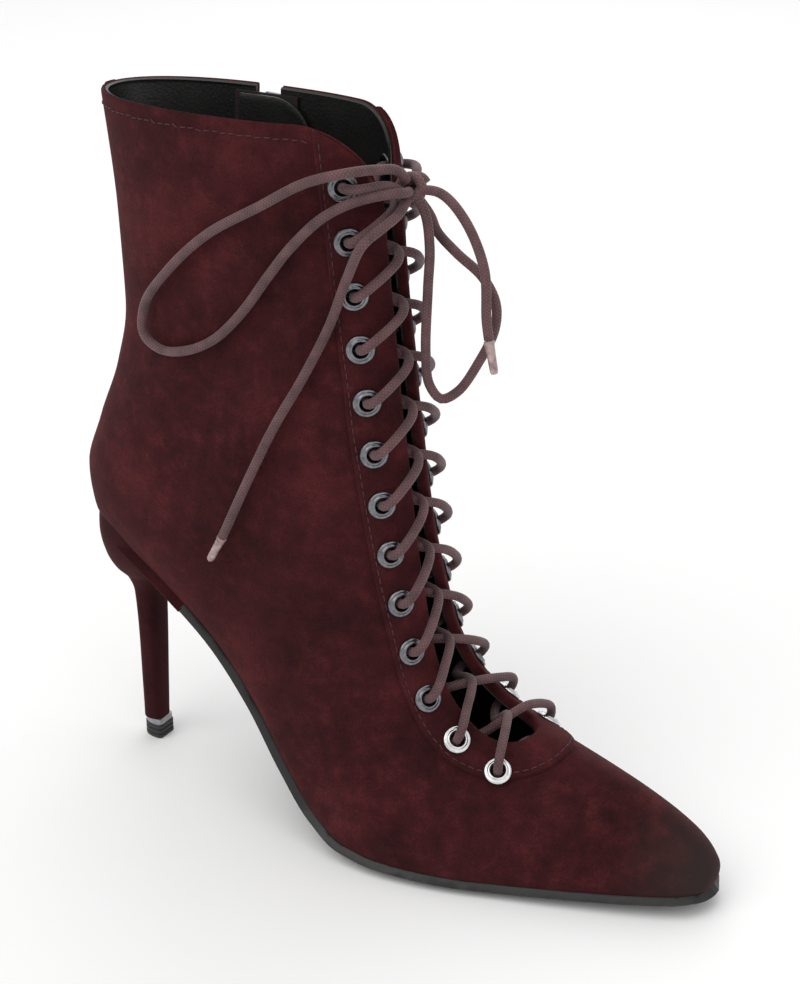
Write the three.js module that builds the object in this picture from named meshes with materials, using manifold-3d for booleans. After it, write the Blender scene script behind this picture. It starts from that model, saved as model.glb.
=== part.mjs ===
// Right lace-up ankle boot on a stiletto heel: one hollow suede upper on a thin sole, an open
// throat with a raised facing, thirteen pairs of eyelets, a round cord lace and an inside zip.
// Millimetres, +X towards the toe, +Y towards the wearer's left (the inner side), +Z up.
// The origin is the middle of the heel tip's face on the floor.
import * as THREE from "three";
import { mergeVertices } from "three/addons/utils/BufferGeometryUtils.js";
import Module from "manifold-3d";

const wasm = await Module();
wasm.setup();

// Driving dimensions of the last
const TOE_REACH = 215; // heel tip's middle to the point of the toe, level
const HEEL_HEIGHT = 91; // floor to the back of the seat
const SHAFT_HEIGHT = 145; // back of the seat to the collar
const VAMP_DEPTH = 40; // sole to the ridge at the foot of the throat
const TOE_SPRING = 7; // lift of the sole under the toe
const BALL_WIDTH = 76;
const HEEL_WIDTH = 55;
const COLLAR_WIDTH = 49;
const FRONT_SWAY = 4.6; // how far the shaft's front leans to the outer side at the collar

// Driving dimensions of the pieces
const WALL = 2; // suede and lining together
const GAP = 0.3; // between pieces that lie on each other
const SOLE_THICKNESS = 2.5;
const BALL_FLAT = 0.2; // depth of the flat place that the ball stands on
const FLOOR_LEVEL = SOLE_THICKNESS + GAP - BALL_FLAT; // underside of the upper at the ball
const INSOLE_THICKNESS = 1.6;
const INSOLE_FIT = 0.6; // insole's edge to the upper's turned-in edge
const LASTING_MARGIN = 7; // width of the upper that turns in under the foot
const EYESTAY_THICKNESS = 1.2;
const THROAT_WIDTH = 8; // between the facings at the collar
const THROAT_LENGTH = 211; // collar to the rounded foot of the throat, along the front line
const FACING_MARGIN = 7; // eyelets' middles to the facing's outer edge
const FACING_TOE = 13; // facing beyond the foot of the throat
const COLLAR_DROP = 20; // the facing's rounded corner, down from the collar
const EYELET_COUNT = 13; // on each side
const EYELET_PITCH = 16.5;
const EYELET_FIRST = 15.5; // collar's level down to the top eyelet, along the front line
const EYELET_SPREAD = 16.5; // front line round to the eyelets' middles
const EYELET_BORE = 4.6;
const EYELET_FLANGE = 9;
const EYELET_BARREL = 5.8;
const EYELET_LIP = 0.9;
const EYELET_TURN = 0.4; // barrel's edge turned out behind the lining
const CORD_DIAMETER = 3;
const AGLET_DIAMETER = 2.6;
const ZIP_TOP_X = 43;
const ZIP_FOOT_X = 37;
const ZIP_FOOT_Z = 106;
const ZIP_SLOT_WIDTH = 9.4;
const ZIP_MARGIN = 2.5; // tape beyond the slot's foot, and under the collar
const ZIP_TAPE_WIDTH = 24;
const ZIP_TAPE_THICKNESS = 0.8;
const ZIP_CHAIN_WIDTH = 5.6;
const ZIP_CHAIN_THICKNESS = 2.2;
const SLIDER_DROP = 9; // collar to the slider's middle
const SLIDER_WIDTH = 8;
const SLIDER_LENGTH = 12;
const SLIDER_THICKNESS = 1.4;
const SLIDER_LUG = 1.2; // thickness of the two ears that hold the pin
const SLIDER_PIN = 1.4; // diameter
const PULL_AXIS = 3.9; // pin's middle off the last
const PULL_RING = 3.6; // outside diameter of the pull's eye
const PULL_RING_WIDTH = 3.4;
const PULL_LENGTH = 22;
const PULL_WIDTH = 5;
const PULL_THICKNESS = 1.4;
const GUARD_DROP = 3; // collar to the guard's top edge
const GUARD_CORNER = 16;
const GUARD_WIDTH = 29;
const GUARD_THICKNESS = 1.2;
const HEEL_DEPTH = 42; // back to front, where the heel meets the seat
const HEEL_PLATE = 4.6; // thickness of the heel's lip under the seat
const TIP_LENGTH = 8.8;
const TIP_WIDTH = 8.6;
const TIP_HEIGHT = 5;
const BAND_HEIGHT = 2.5;
const GROOVE_WIDTH = 0.5;
const GROOVE_DEPTH = 0.3;
const SOLE_RISE = 2.6; // how far the sole's edge may climb beside the foot

const COLLAR_LEVEL = HEEL_HEIGHT + SHAFT_HEIGHT;
const CLEAR = 80; // cutters reach this far past the boot
const CUT_OVER = 8; // and this far past a surface, outward
const CUT_UNDER = 3; // and inward
const ABOVE_COLLAR = -12; // where cutters down the front begin

// Stations run from the toe (0) to above the collar (LAST_STATION). Each is a flat section of the
// last that leans back from upright at the toe to level at the collar.
const LAST_STATION = 25;
const SOLE_END = 19; // past the back of the seat
const SEAT_SPAN = [8, 22]; // round the seat and waist
const INNER_START = 10; // where layers inside the shaft begin

// Where each section meets the front line, from the toe over the instep to the collar.
// station, x as a share of TOE_REACH, z as shares of TOE_SPRING, VAMP_DEPTH, HEEL_HEIGHT and
// SHAFT_HEIGHT, sway towards the inner side as a share of FRONT_SWAY
const FRONT_LINE = [
  [0, 1.0, 0.7, 0.113, 0, 0, 0],
  [1, 0.997, 0.65, 0.196, 0, 0, 0],
  [2, 0.984, 0.55, 0.319, 0, 0, 0],
  [3, 0.96, 0.45, 0.451, 0, 0, 0.022],
  [4, 0.923, 0.36, 0.573, 0, 0, 0.065],
  [5, 0.865, 0.25, 0.716, 0, 0, 0.13],
  [6, 0.802, 0.14, 0.835, 0, 0, 0.196],
  [7, 0.742, 0.06, 0.933, 0, 0, 0.261],
  [8, 0.686, 0, 0.988, 0.01, 0, 0.283],
  [9, 0.637, 0, 1.009, 0.05, 0, 0.261],
  [10, 0.6, 0, 1, 0.12, 0, 0.196],
  [11, 0.57, 0, 0.985, 0.22, 0, 0.065],
  [12, 0.547, 0, 0.988, 0.35, 0, -0.087],
  [13, 0.53, 0, 0.938, 0.5, 0.03, -0.217],
  [14, 0.516, 0, 0.85, 0.62, 0.09, -0.348],
  [15, 0.506, 0, 0.75, 0.73, 0.166, -0.478],
  [16, 0.498, 0, 0.625, 0.82, 0.247, -0.565],
  [17, 0.491, 0, 0.525, 0.89, 0.32, -0.652],
  [18, 0.487, 0, 0.425, 0.94, 0.4, -0.717],
  [19, 0.482, 0, 0.338, 0.97, 0.483, -0.761],
  [20, 0.478, 0, 0.263, 0.99, 0.564, -0.804],
  [21, 0.473, 0, 0.188, 1, 0.651, -0.848],
  [22, 0.469, 0, 0.125, 1, 0.745, -0.891],
  [23, 0.463, 0, 0.063, 1, 0.861, -0.935],
  [24, 0.455, 0, 0, 1, 1.014, -0.978],
  [25, 0.451, 0, 0, 1, 1.08, -1],
];

// Where each section meets the sole and, past the seat, the back line.
// station, x as a share of TOE_REACH, z as shares of TOE_SPRING, HEEL_HEIGHT, SHAFT_HEIGHT
const BACK_LINE = [
  [0, 0.999, 1.08, 0, 0],
  [1, 0.994, 0.686, 0, 0],
  [2, 0.982, 0.543, 0, 0],
  [3, 0.957, 0.457, 0, 0],
  [4, 0.915, 0.371, 0, 0],
  [5, 0.852, 0.257, 0, 0],
  [6, 0.779, 0.143, 0, 0],
  [7, 0.71, 0.057, 0, 0],
  [8, 0.647, 0.014, 0, 0],
  [9, 0.586, 0, 0, 0],
  [10, 0.526, 0, 0, 0],
  [11, 0.465, 0, 0.012, 0],
  [12, 0.405, 0, 0.062, 0],
  [13, 0.34, 0, 0.205, 0],
  [14, 0.27, 0, 0.4, 0],
  [15, 0.186, 0, 0.59, 0],
  [16, 0.093, 0, 0.745, 0],
  [17, 0.005, 0, 0.87, 0],
  [18, -0.063, 0, 0.975, 0],
  [19, -0.082, 0, 1, 0.09],
  [20, -0.058, 0, 1, 0.207],
  [21, -0.018, 0, 1, 0.352],
  [22, 0.003, 0, 1, 0.503],
  [23, 0, 0, 1, 0.724],
  [24, -0.02, 0, 1, 1.014],
  [25, -0.025, 0, 1, 1.08],
];

// Shape of each section. station, outer half width as shares of BALL_WIDTH, HEEL_WIDTH and
// COLLAR_WIDTH, inner half width as a share of the outer one, height of the widest place as a
// share of the section, squareness of the lower and of the upper half
const GIRTH = [
  [0, 0.012, 0, 0, 1, 0.5, 2, 2],
  [1, 0.068, 0, 0, 1, 0.4, 2.6, 2],
  [2, 0.112, 0, 0, 1, 0.32, 3.2, 1.9],
  [3, 0.163, 0, 0, 1, 0.27, 4, 1.8],
  [4, 0.217, 0, 0, 1.03, 0.24, 4.6, 1.7],
  [5, 0.283, 0, 0, 1.05, 0.22, 5, 1.62],
  [6, 0.352, 0, 0, 1.06, 0.21, 5.4, 1.58],
  [7, 0.412, 0, 0, 1.07, 0.2, 5.8, 1.56],
  [8, 0.468, 0, 0, 1.06, 0.2, 6, 1.56],
  [9, 0.505, 0, 0, 1.03, 0.2, 6, 1.58],
  [10, 0.522, 0, 0, 0.98, 0.2, 6, 1.62],
  [11, 0.484, 0.045, 0, 0.94, 0.2, 5.4, 1.68],
  [12, 0.37, 0.15, 0, 0.89, 0.22, 4.6, 1.78],
  [13, 0.25, 0.27, 0, 0.88, 0.25, 4, 1.88],
  [14, 0.145, 0.365, 0, 0.9, 0.28, 3.6, 1.96],
  [15, 0.07, 0.435, 0, 0.93, 0.31, 3.3, 2.05],
  [16, 0.03, 0.475, 0, 0.96, 0.32, 3.1, 2.2],
  [17, 0.01, 0.49, 0, 0.98, 0.33, 2.8, 2.3],
  [18, 0, 0.485, 0, 0.98, 0.35, 2.4, 2.4],
  [19, 0, 0.41, 0.05, 0.98, 0.38, 2.2, 2.4],
  [20, 0, 0.28, 0.15, 0.98, 0.41, 2.1, 2.4],
  [21, 0, 0.16, 0.28, 0.98, 0.43, 2.1, 2.45],
  [22, 0, 0.06, 0.39, 0.98, 0.45, 2.1, 2.5],
  [23, 0, 0.015, 0.46, 0.98, 0.46, 2.1, 2.5],
  [24, 0, 0, 0.49, 0.98, 0.46, 2.1, 2.5],
  [25, 0, 0, 0.49, 0.98, 0.46, 2.1, 2.5],
];

// Edge of the sole as shares of the section's half width. station, outer, inner
const SOLE_EDGE = [
  [1, 0.8, 0.8],
  [2, 0.9, 0.9],
  [3, 0.94, 0.94],
  [5, 0.96, 0.96],
  [8, 0.97, 0.97],
  [10, 0.97, 0.96],
  [12, 0.94, 0.88],
  [13, 0.91, 0.79],
  [14, 0.86, 0.72],
  [15, 0.82, 0.72],
  [16, 0.8, 0.76],
  [17, 0.68, 0.68],
  [17.7, 0.4, 0.4],
];

// Half width of the throat. share of THROAT_LENGTH, share of THROAT_WIDTH
const THROAT = [
  [0, 0.6],
  [0.25, 0.5],
  [0.5, 0.5],
  [0.68, 0.7],
  [0.8, 1],
  [0.88, 1.3],
  [0.93, 1.4],
];

// Eyelets' distance round from the front line. share of THROAT_LENGTH, share of EYELET_SPREAD
const EYELET_LINE = [
  [0, 1.02],
  [0.3, 0.96],
  [0.55, 0.96],
  [0.7, 1],
  [0.8, 1.06],
  [0.9, 1.15],
  [1, 1.15],
];

// Outline of the heel by level sections. height as a share of the heel above its metal band, back and
// front as shares of HEEL_DEPTH, half width and lean to the inner side as shares of HEEL_WIDTH
const HEEL_SECTIONS = [
  [0, -0.102, 0.093, 0.078, 0],
  [0.174, -0.107, 0.088, 0.091, 0.011],
  [0.485, -0.119, 0.093, 0.107, 0.022],
  [0.605, -0.133, 0.102, 0.116, 0.022],
  [0.677, -0.167, 0.143, 0.155, 0.018],
  [0.749, -0.238, 0.238, 0.255, 0.015],
  [0.82, -0.286, 0.381, 0.327, 0.009],
  [0.916, -0.321, 0.524, 0.382, 0.004],
  [1.024, -0.357, 0.667, 0.418, 0],
];
const HEEL_BACK_POWER = 2.1; // squareness of the heel's back half
const HEEL_FRONT_POWER = 2.8;
const UNDER_FOOT = [2, 17.4]; // stations where the opening under the foot begins and ends
const SOLE_TOE = 0.6; // station where the sole's edge begins
const NARROWEST = 0.8; // half width that an outline keeps at its ends
const BREAST_X = 27; // where the sole ends and the heel's lip begins
const SEAT_LIP = 3.5; // heel's rim above the seat's middle line

// Smooth curve through a table's rows that never overshoots them
function track(table, value) {
  const at = table.map((row) => row[0]);
  const level = table.map(value);
  const last = level.length - 1;
  const rise = (i) => (level[i + 1] - level[i]) / (at[i + 1] - at[i]);
  const slope = level.map((_, i) => {
    if (i === 0) {
      return rise(0);
    }
    if (i === last) {
      return rise(last - 1);
    }
    const before = rise(i - 1);
    const after = rise(i);
    return before * after > 0 ? (2 * before * after) / (before + after) : 0;
  });
  return (place) => {
    const found = at.findIndex((start) => start > place);
    const i = found < 0 ? last - 1 : Math.max(found - 1, 0);
    const width = at[i + 1] - at[i];
    const t = (place - at[i]) / width;
    const mean = rise(i);
    const bend = 3 * mean - 2 * slope[i] - slope[i + 1];
    const twist = slope[i] + slope[i + 1] - 2 * mean;
    return level[i] + width * t * (slope[i] + t * (bend + t * twist));
  };
}

const frontX = track(FRONT_LINE, ([, x]) => x * TOE_REACH);
const frontZ = track(
  FRONT_LINE,
  ([, , spring, vamp, heel, shaft]) =>
    FLOOR_LEVEL + spring * TOE_SPRING + vamp * VAMP_DEPTH + heel * HEEL_HEIGHT + shaft * SHAFT_HEIGHT,
);
const frontY = track(FRONT_LINE, (row) => row[6] * FRONT_SWAY);
const backX = track(BACK_LINE, ([, x]) => x * TOE_REACH);
const backZ = track(
  BACK_LINE,
  ([, , spring, heel, shaft]) => FLOOR_LEVEL + spring * TOE_SPRING + heel * HEEL_HEIGHT + shaft * SHAFT_HEIGHT,
);
const halfWidth = track(
  GIRTH,
  ([, ball, heel, collar]) => ball * BALL_WIDTH + heel * HEEL_WIDTH + collar * COLLAR_WIDTH,
);
const innerShare = track(GIRTH, (row) => row[4]);
const widestShare = track(GIRTH, (row) => row[5]);
const lowerPower = track(GIRTH, (row) => row[6]);
const upperPower = track(GIRTH, (row) => row[7]);

// One section of the last, measured round from its front: girth so far, width and height share
const SECTION_STEPS = 240;
const sections = new Map();
function section(station) {
  if (!sections.has(station)) {
    const front = new THREE.Vector3(frontX(station), frontY(station), frontZ(station));
    const back = new THREE.Vector3(backX(station), 0, backZ(station));
    const widest = widestShare(station);
    const points = [];
    const lengths = [0];
    for (let i = 0; i <= SECTION_STEPS; i++) {
      const angle = (i / SECTION_STEPS) * 2 * Math.PI;
      const sine = Math.sin(angle);
      const cosine = Math.cos(angle);
      const power = 2 / (cosine > 0 ? upperPower(station) : lowerPower(station));
      const reach = halfWidth(station) * (sine > 0 ? innerShare(station) : 1);
      const across = Math.sign(sine) * reach * Math.abs(sine) ** power;
      const room = cosine > 0 ? 1 - widest : widest;
      const up = widest + Math.sign(cosine) * room * Math.abs(cosine) ** power;
      const point = back.clone().lerp(front, up);
      point.y += across;
      if (i > 0) {
        lengths.push(lengths[i - 1] + point.distanceTo(points[i - 1]));
      }
      points.push(point);
    }
    sections.set(station, { points, lengths, girth: lengths[SECTION_STEPS] });
  }
  return sections.get(station);
}

// Place on a section, by the share of its girth round from the front towards the inner side
function around(station, share) {
  const { points, lengths, girth } = section(station);
  const goal = (share - Math.floor(share)) * girth;
  let low = 0;
  let high = SECTION_STEPS;
  while (high - low > 1) {
    const middle = (low + high) >> 1;
    if (lengths[middle] <= goal) {
      low = middle;
    } else {
      high = middle;
    }
  }
  const step = (goal - lengths[low]) / (lengths[high] - lengths[low]);
  return points[low].clone().lerp(points[high], step);
}

// Outward direction of the last's surface
const PROBE = 0.02; // stations
const SIDE_PROBE = 0.004; // share of the girth
function outward(station, share) {
  const lower = Math.max(station - PROBE, 0);
  const upper = Math.min(station + PROBE, LAST_STATION);
  const along = around(upper, share).sub(around(lower, share));
  const across = around(station, share + SIDE_PROBE).sub(around(station, share - SIDE_PROBE));
  return across.cross(along).normalize();
}

// A point on the last, moved out by an offset
function skin(station, share, offset) {
  return around(station, share).addScaledVector(outward(station, share), offset);
}

// Turns a closed geometry into a solid
function solidOf(geometry) {
  const bare = geometry.clone();
  bare.deleteAttribute("normal");
  bare.deleteAttribute("uv");
  const merged = mergeVertices(bare, 1e-4);
  const mesh = new wasm.Mesh({
    numProp: 3,
    vertProperties: new Float32Array(merged.attributes.position.array),
    triVerts: new Uint32Array(merged.index.array),
  });
  return new wasm.Manifold(mesh);
}

function geometryOf(solid) {
  const mesh = solid.getMesh();
  const geometry = new THREE.BufferGeometry();
  geometry.setAttribute("position", new THREE.BufferAttribute(mesh.vertProperties, 3));
  geometry.setIndex(new THREE.BufferAttribute(mesh.triVerts, 1));
  return geometry;
}

// Closed solid from rings of points, each ring joined to the next and the ends closed
function loft(rings) {
  const count = rings[0].length;
  const points = rings.flat();
  const faces = [];
  for (let i = 0; i + 1 < rings.length; i++) {
    for (let j = 0; j < count; j++) {
      const a = i * count + j;
      const b = i * count + ((j + 1) % count);
      faces.push(a, b, a + count, b, b + count, a + count);
    }
  }
  const middleOf = (ring) => ring.reduce((sum, p) => sum.add(p), new THREE.Vector3()).divideScalar(count);
  const startHub = points.push(middleOf(rings[0])) - 1;
  const endHub = points.push(middleOf(rings.at(-1))) - 1;
  const lastRing = (rings.length - 1) * count;
  for (let j = 0; j < count; j++) {
    const next = (j + 1) % count;
    faces.push(startHub, next, j);
    faces.push(endHub, lastRing + j, lastRing + next);
  }
  const geometry = new THREE.BufferGeometry().setFromPoints(points);
  geometry.setIndex(faces);
  return geometry;
}

// The last grown by an offset, between two stations, a ring at each station
const COLUMNS = 20;
function form(offset, from = 0, to = LAST_STATION - 1) {
  const stations = Array.from({ length: to - from + 1 }, (_, i) => from + i);
  const ring = (station) => Array.from({ length: COLUMNS }, (_, j) => skin(station, j / COLUMNS, offset));
  return solidOf(loft(stations.map(ring)));
}

// Layer between two offsets of the last
function layer(inside, outside, from = 0, to = LAST_STATION - 1) {
  return form(outside, from, to).subtract(form(inside, from, to + 1));
}

// Upright prism over an outline in plan
function prismUp(outline, low, high) {
  const shape = new THREE.Shape(outline.map(([x, y]) => new THREE.Vector2(x, y)));
  const geometry = new THREE.ExtrudeGeometry(shape, { depth: high - low, bevelEnabled: false });
  geometry.translate(0, 0, low);
  return solidOf(geometry);
}

// Prism across the boot over an outline in side view
function prismAcross(outline, right, left) {
  const shape = new THREE.Shape(outline.map(([x, z]) => new THREE.Vector2(x, z)));
  const geometry = new THREE.ExtrudeGeometry(shape, { depth: left - right, bevelEnabled: false });
  geometry.rotateX(Math.PI / 2);
  geometry.translate(0, left, 0);
  return solidOf(geometry);
}

// The front line measured down from the collar's level
const FRONT_STEPS = 600;
const frontTrail = [];
for (let i = 0, length = 0; i <= FRONT_STEPS; i++) {
  const station = (LAST_STATION * (FRONT_STEPS - i)) / FRONT_STEPS;
  const before = frontTrail.at(-1);
  const x = frontX(station);
  const z = frontZ(station);
  length += before ? Math.hypot(x - before.x, z - before.z) : 0;
  frontTrail.push({ station, x, z, length });
}
const collarStart = frontTrail.find(({ z }) => z <= COLLAR_LEVEL).length;
function stationAt(down) {
  const goal = Math.max(collarStart + down, 0);
  const i = Math.max(frontTrail.findIndex(({ length }) => length >= goal), 1);
  const { station, length } = frontTrail[i - 1];
  const next = frontTrail[i];
  return station + ((next.station - station) * (goal - length)) / (next.length - length);
}

// A point by its distance down the front line and round from it, inner side positive
function skinAt(down, round, offset) {
  const station = stationAt(down);
  return skin(station, round / section(station).girth, offset);
}

// Half width of the throat, rounded at its foot
const throatTrack = track(THROAT, ([, width]) => width * THROAT_WIDTH);
const THROAT_ROUND = THROAT.at(-1)[0] * THROAT_LENGTH;
function throatHalf(down) {
  if (down < THROAT_ROUND) {
    return throatTrack(Math.max(down, 0) / THROAT_LENGTH);
  }
  const share = (down - THROAT_ROUND) / (THROAT_LENGTH - THROAT_ROUND);
  return throatTrack(THROAT.at(-1)[0]) * Math.sqrt(Math.max(1 - share * share, 0));
}

// Eyelets' distance round from the front line
const eyeletTrack = track(EYELET_LINE, ([, spread]) => spread * EYELET_SPREAD);
const eyeletRound = (down) => eyeletTrack(Math.max(down, 0) / THROAT_LENGTH);

// Half width of the facing, rounded round the foot of the throat
const FACING_LENGTH = THROAT_LENGTH + FACING_TOE;
const FACING_ROUND = THROAT_ROUND - 8;
function facingHalf(down) {
  const round = eyeletRound(Math.min(down, FACING_ROUND)) + FACING_MARGIN;
  if (down < FACING_ROUND) {
    return round;
  }
  const share = (down - FACING_ROUND) / (FACING_LENGTH - FACING_ROUND);
  return round * Math.sqrt(Math.max(1 - share * share, 0));
}

// Rows for a patch: even at first, then closer together towards its rounded end
function rowsTo(start, round, end) {
  const straight = Array.from({ length: 7 }, (_, i) => start + ((round - start) * i) / 7);
  const turn = Array.from({ length: 5 }, (_, i) => round + (end - round) * Math.sin((i / 4.3) * (Math.PI / 2)));
  return [...straight, ...turn];
}

// Cutter through the throat, straight in along the front line's outward direction
const PATCH_COLUMNS = 6;
function throatCutter() {
  const rings = rowsTo(ABOVE_COLLAR, THROAT_ROUND, THROAT_LENGTH).map((down) => {
    const station = stationAt(down);
    const girth = section(station).girth;
    const way = outward(station, 0);
    const place = (i, depth) => {
      const round = throatHalf(down) * (1 - (2 * i) / PATCH_COLUMNS);
      return around(station, round / girth).addScaledVector(way, depth);
    };
    const top = Array.from({ length: PATCH_COLUMNS + 1 }, (_, i) => place(i, CUT_OVER));
    const bottom = Array.from({ length: PATCH_COLUMNS + 1 }, (_, i) => place(PATCH_COLUMNS - i, -WALL - CUT_UNDER));
    return [...top, ...bottom];
  });
  return solidOf(loft(rings));
}

// Solid over the facing's outline, thick enough to hold the facing's layer
function facingBlock() {
  const rings = rowsTo(ABOVE_COLLAR, FACING_ROUND, FACING_LENGTH).map((down) => {
    const half = facingHalf(down);
    const columns = 2 * PATCH_COLUMNS;
    const place = (i, offset) => skinAt(down, half * (1 - (2 * i) / columns), offset);
    const top = Array.from({ length: columns + 1 }, (_, i) => place(i, EYESTAY_TOP + CUT_UNDER));
    const bottom = Array.from({ length: columns + 1 }, (_, i) => place(columns - i, -CUT_UNDER));
    return [...top, ...bottom];
  });
  return solidOf(loft(rings));
}

// Everything above the collar, with the facings' rounded front corners
function collarCutter() {
  const level = COLLAR_LEVEL;
  const front = frontX(LAST_STATION - 1) + EYESTAY_TOP;
  const corner = COLLAR_DROP;
  const outline = [
    [-CLEAR, level],
    [front - corner, level],
  ];
  for (let i = 1; i <= 6; i++) {
    const angle = (i / 6) * (Math.PI / 2);
    outline.push([front - corner + corner * Math.sin(angle), level - corner + corner * Math.cos(angle)]);
  }
  outline.push([front + CLEAR, level - corner], [front + CLEAR, level + CLEAR], [-CLEAR, level + CLEAR]);
  return prismAcross(outline, -CLEAR, CLEAR);
}

// Plan outline along the sole, moved in by a margin, between two stations and in at its ends
function soleOutline(margin, from, to, ends = 0) {
  const outerEdge = track(SOLE_EDGE, (row) => row[1]);
  const innerEdge = track(SOLE_EDGE, (row) => row[2]);
  const count = 16;
  const right = [];
  const left = [];
  for (let i = 0; i <= count; i++) {
    const station = from + ((to - from) * i) / count;
    const half = halfWidth(station);
    const x = backX(station) - (i === 0 ? ends : 0) + (i === count ? ends : 0);
    right.push([x, -Math.max(half * outerEdge(station) - margin, NARROWEST)]);
    left.push([x, Math.max(half * innerShare(station) * innerEdge(station) - margin, NARROWEST)]);
  }
  return [...left, ...right.reverse()];
}

// Everything under a line that runs a height above the sole's middle line
function underSole(height) {
  const outline = [];
  for (let station = 0; station <= SOLE_END; station += 1) {
    outline.push([backX(station), backZ(station) + height]);
  }
  outline.unshift([TOE_REACH + CLEAR, backZ(0) + height]);
  outline.push([-CLEAR, backZ(SOLE_END) + height], [-CLEAR, -CLEAR], [TOE_REACH + CLEAR, -CLEAR]);
  return prismAcross(outline, -CLEAR, CLEAR);
}

// Eyelets at an even pitch down each facing
const EYELETS = [];
{
  const place = (down) => skinAt(down, -eyeletRound(down), 0);
  let down = EYELET_FIRST;
  let before = place(down);
  EYELETS.push(down);
  while (EYELETS.length < EYELET_COUNT) {
    let walked = 0;
    while (walked < EYELET_PITCH) {
      down += 0.25;
      const here = place(down);
      walked += here.distanceTo(before);
      before = here;
    }
    EYELETS.push(down);
  }
}

// Frame of an eyelet: its middle on the last, with its axis outward
function eyeletFrame(down, side) {
  const station = stationAt(down);
  const share = (side * eyeletRound(down)) / section(station).girth;
  const turn = new THREE.Quaternion().setFromUnitVectors(new THREE.Vector3(0, 1, 0), outward(station, share));
  return new THREE.Matrix4().compose(around(station, share), turn, new THREE.Vector3(1, 1, 1));
}

const HOLE_SIDES = 5;
const EYELET_SIDES = 6;
const HEEL_SIDES = 16;
const EYESTAY_TOP = GAP + EYESTAY_THICKNESS;
const EYELET_SEAT = EYESTAY_TOP + 2 * GAP;
const LIP_TOP = EYELET_SEAT + EYELET_LIP;
const BARREL_END = -WALL - EYELET_TURN;
function eyeletGeometry() {
  const profile = [
    [EYELET_BORE / 2, BARREL_END],
    [EYELET_BARREL / 2, BARREL_END],
    [EYELET_BARREL / 2, EYELET_SEAT],
    [EYELET_FLANGE / 2, EYELET_SEAT],
    [EYELET_BORE / 2, LIP_TOP],
    [EYELET_BORE / 2, BARREL_END],
  ].map(([radius, height]) => new THREE.Vector2(radius, height));
  return new THREE.LatheGeometry(profile, EYELET_SIDES);
}

function eyeletHole(down, side) {
  const radius = (EYELET_BARREL / 2 + GAP) / Math.cos(Math.PI / HOLE_SIDES);
  const geometry = new THREE.CylinderGeometry(radius, radius, 2 * CUT_OVER, HOLE_SIDES);
  geometry.applyMatrix4(eyeletFrame(down, side));
  return solidOf(geometry);
}

const group = new THREE.Group();
const paint = (color, roughness, metalness = 0) => new THREE.MeshStandardMaterial({ color, roughness, metalness });
const SUEDE = paint(0x421a1e, 0.95);
const LEATHER = paint(0x17120f, 0.5);
const STEEL = paint(0x9a9690, 0.3, 1);
const CORD = paint(0x6b4448, 0.9);

function add(name, shape, material) {
  const geometry = shape.isBufferGeometry ? shape : geometryOf(shape);
  const mesh = new THREE.Mesh(geometry, material);
  mesh.name = name;
  group.add(mesh);
  return mesh;
}

const together = (solids) => solids.reduce((sum, solid) => sum.add(solid));
const bothSides = [-1, 1];
const eyeletHoles = together(EYELETS.flatMap((down) => bothSides.map((side) => eyeletHole(down, side))));
const throat = throatCutter();
const collar = collarCutter();

// Band in side view that follows the zip, for cutting strips out of layers on the inner side
const ZIP_SLANT = (ZIP_TOP_X - ZIP_FOOT_X) / (COLLAR_LEVEL - ZIP_FOOT_Z);
const zipX = (z) => ZIP_FOOT_X + ZIP_SLANT * (z - ZIP_FOOT_Z);
function zipStrip(width, foot, top) {
  const outline = [
    [zipX(top) - width / 2, top],
    [zipX(foot) - width / 2, foot],
    [zipX(foot) + width / 2, foot],
    [zipX(top) + width / 2, top],
  ];
  return prismAcross(outline, GAP, CLEAR);
}

// Upper: the last's skin with its wall, opened above, in front, at the zip and underneath
{
  const wall = layer(-WALL, 0);
  const underFoot = prismUp(soleOutline(LASTING_MARGIN, ...UNDER_FOOT), -CLEAR, COLLAR_LEVEL);
  const bottom = underFoot.intersect(underSole(LASTING_MARGIN));
  const zipSlot = zipStrip(ZIP_SLOT_WIDTH, ZIP_FOOT_Z, COLLAR_LEVEL + CLEAR);
  add("upper", wall.subtract(collar).subtract(throat).subtract(bottom).subtract(zipSlot).subtract(eyeletHoles), SUEDE);
}

// Insole: lies in the opening under the foot
{
  const plate = layer(-INSOLE_THICKNESS, 0, 0, SOLE_END);
  const outline = prismUp(soleOutline(LASTING_MARGIN + INSOLE_FIT, ...UNDER_FOOT, INSOLE_FIT), -CLEAR, COLLAR_LEVEL);
  add("insole", plate.intersect(outline).intersect(underSole(LASTING_MARGIN)), LEATHER);
}

// Outsole: follows the sole from the toe to the heel's lip, flat where the ball stands
const breastStation = Array.from({ length: 200 }, (_, i) => 12 + i / 40).find((s) => backX(s) < BREAST_X);
{
  const plate = layer(GAP, GAP + SOLE_THICKNESS, 0, SOLE_END);
  const outline = prismUp(soleOutline(0, SOLE_TOE, breastStation), 0, HEEL_HEIGHT);
  add("outsole", plate.intersect(outline).intersect(underSole(SOLE_RISE)), LEATHER);
}

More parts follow.
